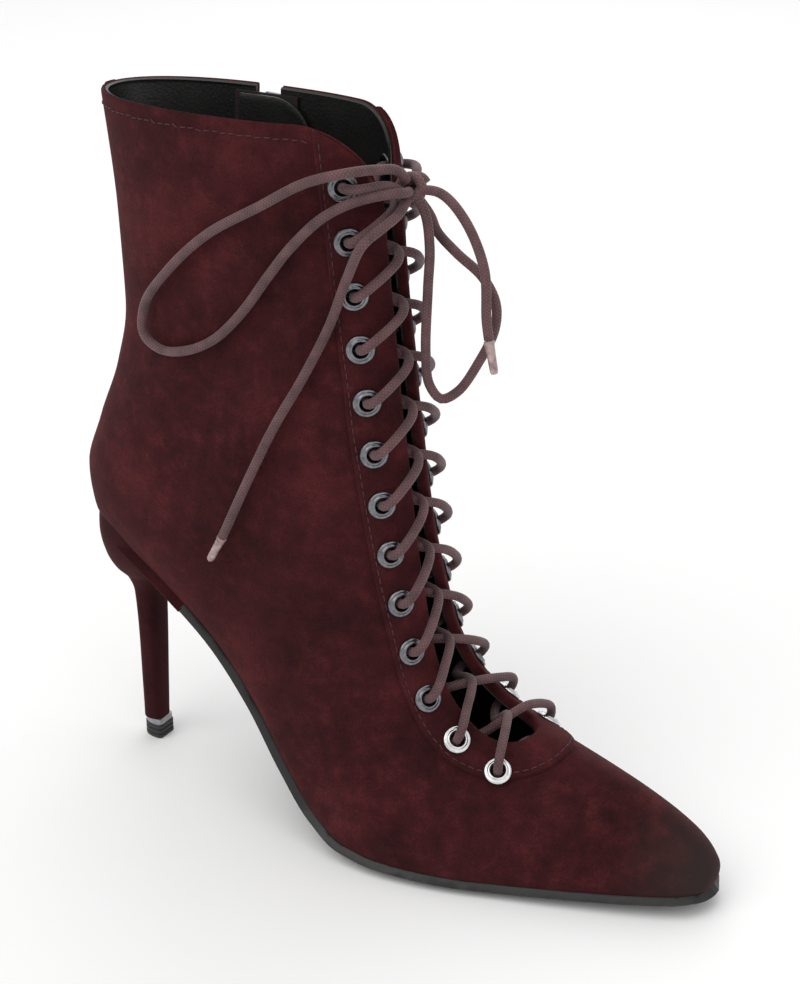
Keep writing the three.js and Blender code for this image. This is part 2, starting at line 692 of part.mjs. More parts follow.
// Heel: slender stem that flares under the seat, its lip running forward to the sole
{
  const foot = TIP_HEIGHT + BAND_HEIGHT;
  const ring = ([height, back, front, width, lean]) => {
    const middle = ((back + front) / 2) * HEEL_DEPTH;
    const half = ((front - back) / 2) * HEEL_DEPTH;
    return Array.from({ length: HEEL_SIDES }, (_, i) => {
      const angle = (i / HEEL_SIDES) * 2 * Math.PI;
      const cosine = Math.cos(angle);
      const sine = Math.sin(angle);
      const power = 2 / (cosine > 0 ? HEEL_FRONT_POWER : HEEL_BACK_POWER);
      const x = middle + half * Math.sign(cosine) * Math.abs(cosine) ** power;
      const y = width * Math.sign(sine) * Math.abs(sine) ** power + lean;
      return new THREE.Vector3(x, y * HEEL_WIDTH, foot + height * (HEEL_HEIGHT - foot));
    });
  };
  const stem = solidOf(loft(HEEL_SECTIONS.map(ring)));
  const plateOutline = prismUp(soleOutline(0, breastStation, SOLE_EDGE.at(-1)[0]), 0, HEEL_HEIGHT);
  const plate = form(GAP + HEEL_PLATE, ...SEAT_SPAN).intersect(plateOutline);
  const reach = BREAST_X - GAP;
  const corners = [[reach, 0], [reach, COLLAR_LEVEL], [-CLEAR, COLLAR_LEVEL], [-CLEAR, 0]];
  const behindBreast = prismAcross(corners, -CLEAR, CLEAR);
  const block = stem.add(plate).intersect(behindBreast).intersect(underSole(SEAT_LIP));
  add("heel", block.subtract(form(GAP, ...SEAT_SPAN)), SUEDE);
}

// Heel tip: a D-shaped top piece with two fine grooves, and the metal band above it
{
  const outline = (grow) => {
    const shape = new THREE.Shape();
    const half = TIP_WIDTH / 2 + grow;
    const front = TIP_LENGTH / 2 + grow;
    shape.moveTo(front, -half * 0.8);
    shape.quadraticCurveTo(front + 0.6, 0, front, half * 0.8);
    shape.quadraticCurveTo(front - 0.4, half, front - 2.4, half);
    shape.bezierCurveTo(-front * 0.75, half, -front, half * 0.55, -front, 0);
    shape.bezierCurveTo(-front, -half * 0.55, -front * 0.75, -half, front - 2.4, -half);
    shape.quadraticCurveTo(front - 0.4, -half, front, -half * 0.8);
    return shape;
  };
  const slab = (grow, low, high) => {
    const settings = { depth: high - low, bevelEnabled: false, curveSegments: 3 };
    return new THREE.ExtrudeGeometry(outline(grow), settings).translate(0, 0, low);
  };
  const body = solidOf(slab(-GROOVE_DEPTH, 0, TIP_HEIGHT));
  const rib = (TIP_HEIGHT - 2 * GROOVE_WIDTH) / 3;
  const ribs = [0, 1, 2].map((i) => solidOf(slab(0, i * (rib + GROOVE_WIDTH), i * (rib + GROOVE_WIDTH) + rib)));
  add("top_piece", body.add(together(ribs)), LEATHER);
  add("heel_band", slab(-0.3, TIP_HEIGHT, TIP_HEIGHT + BAND_HEIGHT), STEEL);
}

// Facing: a layer over the upper round the throat, with the eyelets' holes
{
  const cover = layer(GAP, EYESTAY_TOP, 4);
  add("eyestay", cover.intersect(facingBlock()).subtract(collar).subtract(throat).subtract(eyeletHoles), SUEDE);
}

// Eyelets, counted down from the collar
EYELETS.forEach((down, i) => {
  bothSides.forEach((side) => {
    const name = `eyelet_${side < 0 ? "lateral" : "medial"}_${String(i + 1).padStart(2, "0")}`;
    const mesh = add(name, eyeletGeometry(), STEEL);
    mesh.applyMatrix4(eyeletFrame(down, side));
  });
});

// A tube along a route that bends in one plane, its rings square to the route
function sweep(route, across, radius, sides) {
  const rings = route.map((point, i) => {
    const before = route[Math.max(i - 1, 0)];
    const after = route[Math.min(i + 1, route.length - 1)];
    const along = after.clone().sub(before).normalize();
    const side = across.clone().addScaledVector(along, -across.dot(along)).normalize();
    const rise = along.clone().cross(side);
    return Array.from({ length: sides }, (_, j) => {
      const angle = (j / sides) * 2 * Math.PI;
      const spoke = side.clone().multiplyScalar(Math.cos(angle)).addScaledVector(rise, Math.sin(angle));
      return point.clone().addScaledVector(spoke, radius);
    });
  });
  return solidOf(loft(rings));
}

// Strands of the lace between eyelets. Distances are along the strand, heights off the last
const CORD_RADIUS = CORD_DIAMETER / 2;
const STRAND_SIDES = 4;
const BORE_SHIFT = 0.2; // how far a strand moves along while it is in a bore
const TURN_REACH = EYELET_BORE / 2 + GAP; // a strand's highest place beyond an eyelet's middle
const TURN_ROOM = 1.6; // clear of the eyelet's lip there
const OVER_EYELET = LIP_TOP + CORD_RADIUS + TURN_ROOM;
const UNDER_EYELET = BARREL_END - CORD_RADIUS - TURN_ROOM;
const OVER_ROOM = 1.5; // clear of a facing's edge outside
const UNDER_ROOM = 4.5; // and inside
const OVER_EDGE = EYESTAY_TOP + CORD_RADIUS + OVER_ROOM;
const UNDER_EDGE = -WALL - CORD_RADIUS - UNDER_ROOM;
const BORE_RUN = 1; // straight past a bore before a strand turns
const STRAND_LEVEL = [0.9, -1.1]; // heights where the two strands of a crossing pass in the slot
const leaving = [
  [0, 2 * GAP],
  [BORE_SHIFT, LIP_TOP + BORE_RUN],
  [TURN_REACH, OVER_EYELET],
];
const entering = [
  [TURN_REACH, UNDER_EYELET],
  [BORE_SHIFT, BARREL_END - BORE_RUN],
  [0, GAP],
];

// Route of distances and heights laid between two places given as down and round
function layRoute(from, to, profile) {
  const length = Math.hypot(to.down - from.down, to.round - from.round);
  const at = (distance, height) => {
    const share = distance / length;
    const down = from.down + (to.down - from.down) * share;
    return skinAt(down, from.round + (to.round - from.round) * share, height);
  };
  const route = profile(length).map(([distance, height]) => at(distance, height));
  const middle = stationAt((from.down + to.down) / 2);
  const across = at(length, 0).sub(at(0, 0)).cross(outward(middle, 0)).normalize();
  return sweep(route, across, CORD_RADIUS, STRAND_SIDES);
}

// One strand: out of an eyelet, over its facing, through the slot and up into the opposite eyelet
function strand(lower, upper, side, level) {
  const from = { down: lower, round: side * eyeletRound(lower) };
  const to = { down: upper, round: -side * eyeletRound(upper) };
  const edge = (eyeletRound(lower) - throatHalf(lower)) / (eyeletRound(lower) + eyeletRound(upper));
  return layRoute(from, to, (length) => [
    ...leaving,
    [length * edge, OVER_EDGE],
    [length / 2, level],
    [length * (1 - edge), UNDER_EDGE],
    ...entering.map(([distance, height]) => [length - distance, height]),
  ]);
}

// Crossings, counted down from the collar, and the bar that joins the lowest eyelets inside
for (let i = 0; i + 1 < EYELETS.length; i++) {
  const strands = bothSides.map((side, j) => strand(EYELETS[i + 1], EYELETS[i], side, STRAND_LEVEL[j]));
  add(`lace_crossing_${String(i + 1).padStart(2, "0")}`, together(strands), CORD);
}
{
  const down = EYELETS.at(-1);
  const round = eyeletRound(down);
  const bar = layRoute({ down, round: -round }, { down, round }, (length) => [
    ...entering.toReversed(),
    ...entering.map(([distance, height]) => [length - distance, height]),
  ]);
  add("lace_bottom_bar", bar, CORD);
}

// Bow: a knot in front of the top eyelets, two loops and two ends, hand-laid in millimetres
const KNOT_MIDDLE = new THREE.Vector3(107, -3, 216);
const KNOT_SIZE = new THREE.Vector3(4.7, 5.5, 5.2); // half sizes
const CORD_STEP = 2.5 * CORD_DIAMETER;
const LATERAL_LOOP = [
  [107, -3, 216],
  [106, -9.5, 222.8],
  [103, -15.5, 224],
  [97.5, -24.6, 224.2],
  [86, -28, 220.7],
  [70.6, -28.9, 212],
  [51, -28, 200.7],
  [34.5, -26.4, 186.6],
  [22.5, -23.4, 172.5],
  [22, -23.9, 163.6],
  [29.5, -25.6, 160],
  [40.5, -27, 161.8],
  [51.5, -27.2, 167.5],
  [62, -27, 177.8],
  [71.5, -26.5, 190.4],
  [79.5, -26.2, 200.3],
  [91, -26, 211],
  [99, -21.9, 215.5],
  [106.2, -14.2, 217],
  [108.6, -9.5, 216.6],
  [107, -3, 216],
];
const LATERAL_END = [
  [107, -3, 216],
  [108, -12, 211],
  [107.2, -19.8, 208.6],
  [103.8, -25.7, 204.4],
  [96.4, -22.6, 192.4],
  [90, -22.4, 176.8],
  [82.3, -25.6, 160],
  [73.5, -28.6, 143.6],
  [65.4, -30.6, 126.4],
  [54.9, -32, 103.6],
];
const MEDIAL_LOOP = [
  [107, -3, 216],
  [111.5, -3, 209.5],
  [113.7, -4, 199.6],
  [113.2, -4, 187.1],
  [112.6, -4, 166.2],
  [113.4, -3, 156.2],
  [116.9, -2, 152],
  [121.7, -0.5, 154.7],
  [128.4, 0, 165],
  [133.6, 0, 176.4],
  [133.8, 0, 184.4],
  [129.3, 0.4, 191.5],
  [119.7, 1.6, 197.4],
  [112, 3.6, 202.4],
  [110.4, 2.2, 207.5],
  [107, -3, 216],
];
const MEDIAL_END = [
  [107, -3, 216],
  [116.7, -3, 216],
  [125, -3.4, 209.1],
  [131.9, -4.2, 195.8],
  [133.4, -5, 180.5],
  [134.5, -5.4, 174.9],
];
const AGLETS = {
  lateral: [
    [54.6, -32, 103],
    [49.9, -32.4, 94.4],
  ],
  medial: [
    [134.6, -5.4, 174.3],
    [136.9, -6, 164.8],
  ],
};
const vector = (point) => new THREE.Vector3(...point);

const ball = (grow) => {
  const size = KNOT_SIZE.clone().addScalar(grow);
  const sphere = new THREE.SphereGeometry(1, 12, 8).scale(size.x, size.y, size.z);
  return solidOf(sphere.translate(KNOT_MIDDLE.x, KNOT_MIDDLE.y, KNOT_MIDDLE.z));
};
const knotSpace = ball(GAP);

// A stretch of cord along a hand-laid route, ending clear of the knot
function cord(points) {
  const path = new THREE.CatmullRomCurve3(points.map(vector));
  const disc = new THREE.Shape();
  disc.absarc(0, 0, CORD_RADIUS, 0, 2 * Math.PI);
  const settings = { extrudePath: path, steps: Math.round(path.getLength() / CORD_STEP), curveSegments: 4 };
  return solidOf(new THREE.ExtrudeGeometry(disc, settings)).subtract(knotSpace);
}

// Knot with the two strands that lead to it from the top eyelets
{
  const down = EYELETS[0];
  const round = eyeletRound(down);
  const edge = round - throatHalf(down);
  const leads = bothSides.map((side) =>
    layRoute({ down, round: side * round }, { down: down + 3, round: 0 }, (length) => [
      ...leaving,
      [edge, OVER_EDGE],
      [length, OVER_EYELET],
    ]),
  );
  add("lace_knot", together([ball(0), ...leads]), CORD);
}
add("lace_loop_lateral", cord(LATERAL_LOOP), CORD);
add("lace_loop_medial", cord(MEDIAL_LOOP), CORD);
add("lace_end_lateral", cord(LATERAL_END), CORD);
add("lace_end_medial", cord(MEDIAL_END), CORD);
for (const [side, [from, to]] of Object.entries(AGLETS)) {
  const span = vector(to).sub(vector(from));
  const sleeve = new THREE.CylinderGeometry(AGLET_DIAMETER / 2, AGLET_DIAMETER / 2, span.length(), 8);
  const mesh = add(`aglet_${side}`, sleeve, STEEL);
  mesh.position.copy(vector(from).addScaledVector(span, 0.5));
  mesh.quaternion.setFromUnitVectors(new THREE.Vector3(0, 1, 0), span.normalize());
}

// Place on the inner side of the last at a given x and z
function innerPlace(x, z) {
  const shareAt = (station) => {
    let [ahead, behind] = [0, 0.5];
    for (let i = 0; i < 30; i++) {
      const middle = (ahead + behind) / 2;
      [ahead, behind] = around(station, middle).x > x ? [middle, behind] : [ahead, middle];
    }
    return ahead;
  };
  let [low, high] = [14, LAST_STATION];
  for (let i = 0; i < 30; i++) {
    const middle = (low + high) / 2;
    [low, high] = around(middle, shareAt(middle)).z < z ? [middle, high] : [low, middle];
  }
  return { station: low, share: shareAt(low) };
}

// Zip: woven tape behind the slot, with the closed chain raised along its middle
{
  const tape = layer(-WALL - GAP - ZIP_TAPE_THICKNESS, -WALL - GAP, INNER_START);
  const chain = layer(-WALL - GAP - ZIP_TAPE_THICKNESS / 2, -WALL - GAP + ZIP_CHAIN_THICKNESS, INNER_START);
  const foot = ZIP_FOOT_Z - ZIP_MARGIN;
  const top = COLLAR_LEVEL - ZIP_MARGIN;
  const tapeStrip = tape.intersect(zipStrip(ZIP_TAPE_WIDTH, foot, top));
  const chainStrip = chain.intersect(zipStrip(ZIP_CHAIN_WIDTH, ZIP_FOOT_Z + GAP, top - ZIP_MARGIN));
  add("zip", tapeStrip.add(chainStrip), LEATHER);
}

// Guard: soft leather flap inside the shaft behind the zip, its front top corner round
{
  const guardTop = COLLAR_LEVEL - GUARD_DROP;
  const guardFoot = ZIP_FOOT_Z - ZIP_MARGIN;
  const outside = -WALL - ZIP_TAPE_THICKNESS - 2 * GAP;
  const back = ZIP_FOOT_X - ZIP_TAPE_WIDTH / 2 + ZIP_MARGIN;
  const front = back + GUARD_WIDTH;
  const slant = zipX(guardTop) - zipX(guardFoot);
  const outline = [
    [back, guardFoot],
    [front, guardFoot],
    [front + slant, guardTop - GUARD_CORNER],
  ];
  for (let i = 1; i <= 5; i++) {
    const angle = (i / 5) * (Math.PI / 2);
    outline.push([
      front + slant - GUARD_CORNER * (1 - Math.cos(angle)),
      guardTop - GUARD_CORNER * (1 - Math.sin(angle)),
    ]);
  }
  outline.push([back + slant, guardTop]);
  const flap = layer(outside - GUARD_THICKNESS, outside, INNER_START).intersect(prismAcross(outline, GAP, CLEAR));
  add("zip_guard", flap, LEATHER);
}

// Slider at the top of the closed chain and its pull tab, in a frame on the last's surface
{
  const level = COLLAR_LEVEL - SLIDER_DROP;
  const { station, share } = innerPlace(zipX(level), level);
  const foot = innerPlace(zipX(level - SLIDER_LENGTH), level - SLIDER_LENGTH);
  const origin = around(station, share);
  const out = outward(station, share);
  const up = origin.clone().sub(around(foot.station, foot.share));
  up.addScaledVector(out, -up.dot(out)).normalize();
  const across = up.clone().cross(out);
  const frame = new THREE.Matrix4().makeBasis(across, up, out).setPosition(origin);
  const box = (width, length, height, x, y, z) =>
    new THREE.BoxGeometry(width, length, height).translate(x, y, z + height / 2);
  const rod = (radius, width, sides) =>
    new THREE.CylinderGeometry(radius, radius, width, sides).rotateZ(Math.PI / 2).translate(0, 0, PULL_AXIS);

  const bottom = -WALL + ZIP_CHAIN_THICKNESS;
  const lugX = PULL_RING_WIDTH / 2 + GAP + SLIDER_LUG / 2;
  const lugHeight = PULL_AXIS + SLIDER_PIN - bottom;
  const plate = box(SLIDER_WIDTH, SLIDER_LENGTH, SLIDER_THICKNESS, 0, 0, bottom);
  const lugs = bothSides.map((side) => box(SLIDER_LUG, PULL_RING, lugHeight, side * lugX, 0, bottom));
  const pin = rod(SLIDER_PIN / 2, 2 * lugX, 8);
  const slider = together([plate, ...lugs, pin].map(solidOf));
  add("zip_slider", slider, STEEL).applyMatrix4(frame);

  const ring = solidOf(rod(PULL_RING / 2, PULL_RING_WIDTH, 12));
  const bore = solidOf(rod(SLIDER_PIN / 2 + GAP, PULL_RING_WIDTH + 2, 12));
  const blade = (width, from, to) =>
    solidOf(box(width, to - from, PULL_THICKNESS, 0, -(from + to) / 2, PULL_AXIS - PULL_THICKNESS / 2));
  const neck = blade(PULL_RING_WIDTH, SLIDER_PIN / 2 + GAP, PULL_RING);
  const tab = blade(PULL_WIDTH, PULL_RING - GAP, PULL_LENGTH);
  add("zip_pull", ring.add(neck).add(tab).subtract(bore), STEEL).applyMatrix4(frame);
}

export default group;
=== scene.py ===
"""Looks of a right lace-up ankle boot in suede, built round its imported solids.

Work sizes are millimetres, +X towards the toe, +Y towards the wearer's left (the inner side) and
+Z up, from the middle of the heel tip's face on the floor. Meshes are written in metres."""

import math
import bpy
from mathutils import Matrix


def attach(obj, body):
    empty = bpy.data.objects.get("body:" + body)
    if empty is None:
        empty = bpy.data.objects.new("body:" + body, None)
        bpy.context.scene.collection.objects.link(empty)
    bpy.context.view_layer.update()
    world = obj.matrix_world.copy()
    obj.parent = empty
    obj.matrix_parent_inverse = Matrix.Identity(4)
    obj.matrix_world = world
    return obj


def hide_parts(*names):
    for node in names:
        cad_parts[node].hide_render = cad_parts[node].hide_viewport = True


bl_info = {
    "name": "Lace-up ankle boot",
    "version": (1, 0, 0),
    "blender": (4, 5, 0),
    "location": "3D View > Sidebar > Boot",
    "description": "Suede ankle boot with an eyelet facing, a tied cord lace and a stiletto heel",
    "category": "Add Mesh",
}

import bmesh
import bpy
import numpy as np
from mathutils import Matrix, Vector

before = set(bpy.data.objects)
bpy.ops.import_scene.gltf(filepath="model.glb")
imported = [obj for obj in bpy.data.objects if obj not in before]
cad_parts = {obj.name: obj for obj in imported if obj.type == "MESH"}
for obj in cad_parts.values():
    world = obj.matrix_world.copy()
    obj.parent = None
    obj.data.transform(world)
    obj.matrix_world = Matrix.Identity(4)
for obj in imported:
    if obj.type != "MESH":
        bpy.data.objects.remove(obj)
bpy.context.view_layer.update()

MM = 0.001

# The last, as in the part's source
TOE_REACH = 215
HEEL_HEIGHT = 91
SHAFT_HEIGHT = 145
VAMP_DEPTH = 40
TOE_SPRING = 7
BALL_WIDTH = 76
HEEL_WIDTH = 55
COLLAR_WIDTH = 49
FRONT_SWAY = 4.6
FLOOR_LEVEL = 2.6
COLLAR_LEVEL = HEEL_HEIGHT + SHAFT_HEIGHT
LAST_STATION = 25

# Front line from the toe over the instep to the collar. station, x as a share of TOE_REACH,
# z as shares of TOE_SPRING, VAMP_DEPTH, HEEL_HEIGHT and SHAFT_HEIGHT, sway as a share of FRONT_SWAY
FRONT_LINE = [
    [0, 1.0, 0.7, 0.113, 0, 0, 0],
    [1, 0.997, 0.65, 0.196, 0, 0, 0],
    [2, 0.984, 0.55, 0.319, 0, 0, 0],
    [3, 0.96, 0.45, 0.451, 0, 0, 0.022],
    [4, 0.923, 0.36, 0.573, 0, 0, 0.065],
    [5, 0.865, 0.25, 0.716, 0, 0, 0.13],
    [6, 0.802, 0.14, 0.835, 0, 0, 0.196],
    [7, 0.742, 0.06, 0.933, 0, 0, 0.261],
    [8, 0.686, 0, 0.988, 0.01, 0, 0.283],
    [9, 0.637, 0, 1.009, 0.05, 0, 0.261],
    [10, 0.6, 0, 1, 0.12, 0, 0.196],
    [11, 0.57, 0, 0.985, 0.22, 0, 0.065],
    [12, 0.547, 0, 0.988, 0.35, 0, -0.087],
    [13, 0.53, 0, 0.938, 0.5, 0.03, -0.217],
    [14, 0.516, 0, 0.85, 0.62, 0.09, -0.348],
    [15, 0.506, 0, 0.75, 0.73, 0.166, -0.478],
    [16, 0.498, 0, 0.625, 0.82, 0.247, -0.565],
    [17, 0.491, 0, 0.525, 0.89, 0.32, -0.652],
    [18, 0.487, 0, 0.425, 0.94, 0.4, -0.717],
    [19, 0.482, 0, 0.338, 0.97, 0.483, -0.761],
    [20, 0.478, 0, 0.263, 0.99, 0.564, -0.804],
    [21, 0.473, 0, 0.188, 1, 0.651, -0.848],
    [22, 0.469, 0, 0.125, 1, 0.745, -0.891],
    [23, 0.463, 0, 0.063, 1, 0.861, -0.935],
    [24, 0.455, 0, 0, 1, 1.014, -0.978],
    [25, 0.451, 0, 0, 1, 1.08, -1],
]

# Sole and, past the seat, the back line. station, x as a share of TOE_REACH, z as shares of
# TOE_SPRING, HEEL_HEIGHT and SHAFT_HEIGHT
BACK_LINE = [
    [0, 0.999, 1.08, 0, 0],
    [1, 0.994, 0.686, 0, 0],
    [2, 0.982, 0.543, 0, 0],
    [3, 0.957, 0.457, 0, 0],
    [4, 0.915, 0.371, 0, 0],
    [5, 0.852, 0.257, 0, 0],
    [6, 0.779, 0.143, 0, 0],
    [7, 0.71, 0.057, 0, 0],
    [8, 0.647, 0.014, 0, 0],
    [9, 0.586, 0, 0, 0],
    [10, 0.526, 0, 0, 0],
    [11, 0.465, 0, 0.012, 0],
    [12, 0.405, 0, 0.062, 0],
    [13, 0.34, 0, 0.205, 0],
    [14, 0.27, 0, 0.4, 0],
    [15, 0.186, 0, 0.59, 0],
    [16, 0.093, 0, 0.745, 0],
    [17, 0.005, 0, 0.87, 0],
    [18, -0.063, 0, 0.975, 0],
    [19, -0.082, 0, 1, 0.09],
    [20, -0.058, 0, 1, 0.207],
    [21, -0.018, 0, 1, 0.352],
    [22, 0.003, 0, 1, 0.503],
    [23, 0, 0, 1, 0.724],
    [24, -0.02, 0, 1, 1.014],
    [25, -0.025, 0, 1, 1.08],
]

# Sections. station, outer half width as shares of BALL_WIDTH, HEEL_WIDTH and COLLAR_WIDTH, inner
# half width as a share of it, height of the widest place, squareness below and above it
GIRTH = [
    [0, 0.012, 0, 0, 1, 0.5, 2, 2],
    [1, 0.068, 0, 0, 1, 0.4, 2.6, 2],
    [2, 0.112, 0, 0, 1, 0.32, 3.2, 1.9],
    [3, 0.163, 0, 0, 1, 0.27, 4, 1.8],
    [4, 0.217, 0, 0, 1.03, 0.24, 4.6, 1.7],
    [5, 0.283, 0, 0, 1.05, 0.22, 5, 1.62],
    [6, 0.352, 0, 0, 1.06, 0.21, 5.4, 1.58],
    [7, 0.412, 0, 0, 1.07, 0.2, 5.8, 1.56],
    [8, 0.468, 0, 0, 1.06, 0.2, 6, 1.56],
    [9, 0.505, 0, 0, 1.03, 0.2, 6, 1.58],
    [10, 0.522, 0, 0, 0.98, 0.2, 6, 1.62],
    [11, 0.484, 0.045, 0, 0.94, 0.2, 5.4, 1.68],
    [12, 0.37, 0.15, 0, 0.89, 0.22, 4.6, 1.78],
    [13, 0.25, 0.27, 0, 0.88, 0.25, 4, 1.88],
    [14, 0.145, 0.365, 0, 0.9, 0.28, 3.6, 1.96],
    [15, 0.07, 0.435, 0, 0.93, 0.31, 3.3, 2.05],
    [16, 0.03, 0.475, 0, 0.96, 0.32, 3.1, 2.2],
    [17, 0.01, 0.49, 0, 0.98, 0.33, 2.8, 2.3],
    [18, 0, 0.485, 0, 0.98, 0.35, 2.4, 2.4],
    [19, 0, 0.41, 0.05, 0.98, 0.38, 2.2, 2.4],
    [20, 0, 0.28, 0.15, 0.98, 0.41, 2.1, 2.4],
    [21, 0, 0.16, 0.28, 0.98, 0.43, 2.1, 2.45],
    [22, 0, 0.06, 0.39, 0.98, 0.45, 2.1, 2.5],
    [23, 0, 0.015, 0.46, 0.98, 0.46, 2.1, 2.5],
    [24, 0, 0, 0.49, 0.98, 0.46, 2.1, 2.5],
    [25, 0, 0, 0.49, 0.98, 0.46, 2.1, 2.5],
]

# Sole's edge as shares of the section's half width. station, outer, inner
SOLE_EDGE = [
    [1, 0.8, 0.8],
    [2, 0.9, 0.9],
    [3, 0.94, 0.94],
    [5, 0.96, 0.96],
    [8, 0.97, 0.97],
    [10, 0.97, 0.96],
    [12, 0.94, 0.88],
    [13, 0.91, 0.79],
    [14, 0.86, 0.72],
    [15, 0.82, 0.72],
    [16, 0.8, 0.76],
    [17, 0.68, 0.68],
    [17.7, 0.4, 0.4],
]

# Half width of the throat. share of THROAT_LENGTH, share of THROAT_WIDTH
THROAT = [
    [0, 0.6],
    [0.25, 0.5],
    [0.5, 0.5],
    [0.68, 0.7],
    [0.8, 1],
    [0.88, 1.3],
    [0.93, 1.4],
]

# Eyelets' distance round from the front line. share of THROAT_LENGTH, share of EYELET_SPREAD
EYELET_LINE = [
    [0, 1.02],
    [0.3, 0.96],
    [0.55, 0.96],
    [0.7, 1],
    [0.8, 1.06],
    [0.9, 1.15],
    [1, 1.15],
]

# Heel by level sections. height as a share of the heel above its band, back and front as shares of
# HEEL_DEPTH, half width and lean to the inner side as shares of HEEL_WIDTH
HEEL_SECTIONS = [
    [0, -0.102, 0.093, 0.078, 0],
    [0.174, -0.107, 0.088, 0.091, 0.011],
    [0.485, -0.119, 0.093, 0.107, 0.022],
    [0.605, -0.133, 0.102, 0.116, 0.022],
    [0.677, -0.167, 0.143, 0.155, 0.018],
    [0.749, -0.238, 0.238, 0.255, 0.015],
    [0.82, -0.286, 0.381, 0.327, 0.009],
    [0.916, -0.321, 0.524, 0.382, 0.004],
    [1.024, -0.357, 0.667, 0.418, 0],
]

# Bow, laid from the knot and back to it or out to an aglet
LATERAL_LOOP = [
    [107, -3, 216],
    [106, -9.5, 222.8],
    [103, -15.5, 224],
    [97.5, -24.6, 224.2],
    [86, -28, 220.7],
    [70.6, -28.9, 212],
    [51, -28, 200.7],
    [34.5, -26.4, 186.6],
    [22.5, -23.4, 172.5],
    [22, -23.9, 163.6],
    [29.5, -25.6, 160],
    [40.5, -27, 161.8],
    [51.5, -27.2, 167.5],
    [62, -27, 177.8],
    [71.5, -26.5, 190.4],
    [79.5, -26.2, 200.3],
    [91, -26, 211],
    [99, -21.9, 215.5],
    [106.2, -14.2, 217],
    [108.6, -9.5, 216.6],
    [107, -3, 216],
]
LATERAL_END = [
    [107, -3, 216],
    [108, -12, 211],
    [107.2, -19.8, 208.6],
    [103.8, -25.7, 204.4],
    [96.4, -22.6, 192.4],
    [90, -22.4, 176.8],
    [82.3, -25.6, 160],
    [73.5, -28.6, 143.6],
    [65.4, -30.6, 126.4],
    [54.9, -32, 103.6],
]
MEDIAL_LOOP = [
    [107, -3, 216],
    [111.5, -3, 209.5],
    [113.7, -4, 199.6],
    [113.2, -4, 187.1],
    [112.6, -4, 166.2],
    [113.4, -3, 156.2],
    [116.9, -2, 152],
    [121.7, -0.5, 154.7],
    [128.4, 0, 165],
    [133.6, 0, 176.4],
    [133.8, 0, 184.4],
    [129.3, 0.4, 191.5],
    [119.7, 1.6, 197.4],
    [112, 3.6, 202.4],
    [110.4, 2.2, 207.5],
    [107, -3, 216],
]
MEDIAL_END = [
    [107, -3, 216],
    [116.7, -3, 216],
    [125, -3.4, 209.1],
    [131.9, -4.2, 195.8],
    [133.4, -5, 180.5],
    [134.5, -5.4, 174.9],
]

# Pieces on the last
WALL = 2
SUEDE_WALL = 1
LINING_INSET = 1.05
THROAT_WIDTH = 8
THROAT_LENGTH = 211
FACING_MARGIN = 7
FACING_TOE = 13
FACING_TOP = 1.5
COLLAR_CORNER = 20
EYELET_COUNT = 13
EYELET_PITCH = 16.5
EYELET_FIRST = 15.5
EYELET_SPREAD = 16.5
ZIP_TOP_X = 43
ZIP_FOOT_X = 37
ZIP_FOOT_Z = 106
ZIP_SLOT_WIDTH = 9.4
HEEL_DEPTH = 42
TIP_HEIGHT = 5
BAND_HEIGHT = 2.5
BREAST_X = 27
SOLE_ENDS = (0.6, 17.7)


def track(table, value):
    """Smooth curve through a table's rows that never overshoots them."""
    at = np.array([row[0] for row in table], float)
    level = np.array([value(*row[1:]) for row in table], float)
    rise = np.diff(level) / np.diff(at)
    before, after = rise[:-1], rise[1:]
    same = before * after > 0
    slope = np.concatenate([rise[:1], np.zeros(len(before)), rise[-1:]])
    slope[1:-1][same] = 2 * before[same] * after[same] / (before[same] + after[same])

    def curve(place):
        place = np.asarray(place, float)
        i = np.clip(np.searchsorted(at, place, side="right") - 1, 0, len(rise) - 1)
        width = at[i + 1] - at[i]
        t = (place - at[i]) / width
        bend = 3 * rise[i] - 2 * slope[i] - slope[i + 1]
        twist = slope[i] + slope[i + 1] - 2 * rise[i]
        return level[i] + width * t * (slope[i] + t * (bend + t * twist))

    return curve


front_x = track(FRONT_LINE, lambda x, *_: x * TOE_REACH)
front_y = track(FRONT_LINE, lambda *row: row[-1] * FRONT_SWAY)
front_z = track(
    FRONT_LINE,
    lambda x, spring, vamp, heel, shaft, sway: FLOOR_LEVEL
    + spring * TOE_SPRING
    + vamp * VAMP_DEPTH
    + heel * HEEL_HEIGHT
    + shaft * SHAFT_HEIGHT,
)
back_x = track(BACK_LINE, lambda x, *_: x * TOE_REACH)
back_z = track(
    BACK_LINE,
    lambda x, spring, heel, shaft: FLOOR_LEVEL + spring * TOE_SPRING + heel * HEEL_HEIGHT + shaft * SHAFT_HEIGHT,
)
half_width = track(
    GIRTH,
    lambda ball, heel, collar, *_: ball * BALL_WIDTH + heel * HEEL_WIDTH + collar * COLLAR_WIDTH,
)
inner_share = track(GIRTH, lambda *row: row[3])
widest_share = track(GIRTH, lambda *row: row[4])
lower_power = track(GIRTH, lambda *row: row[5])
upper_power = track(GIRTH, lambda *row: row[6])

# The last's surface as a fine grid: station by share of the girth, round from the front to the inner side
STATIONS = np.linspace(0, LAST_STATION, 501)
SHARES = np.linspace(0, 1, 481)


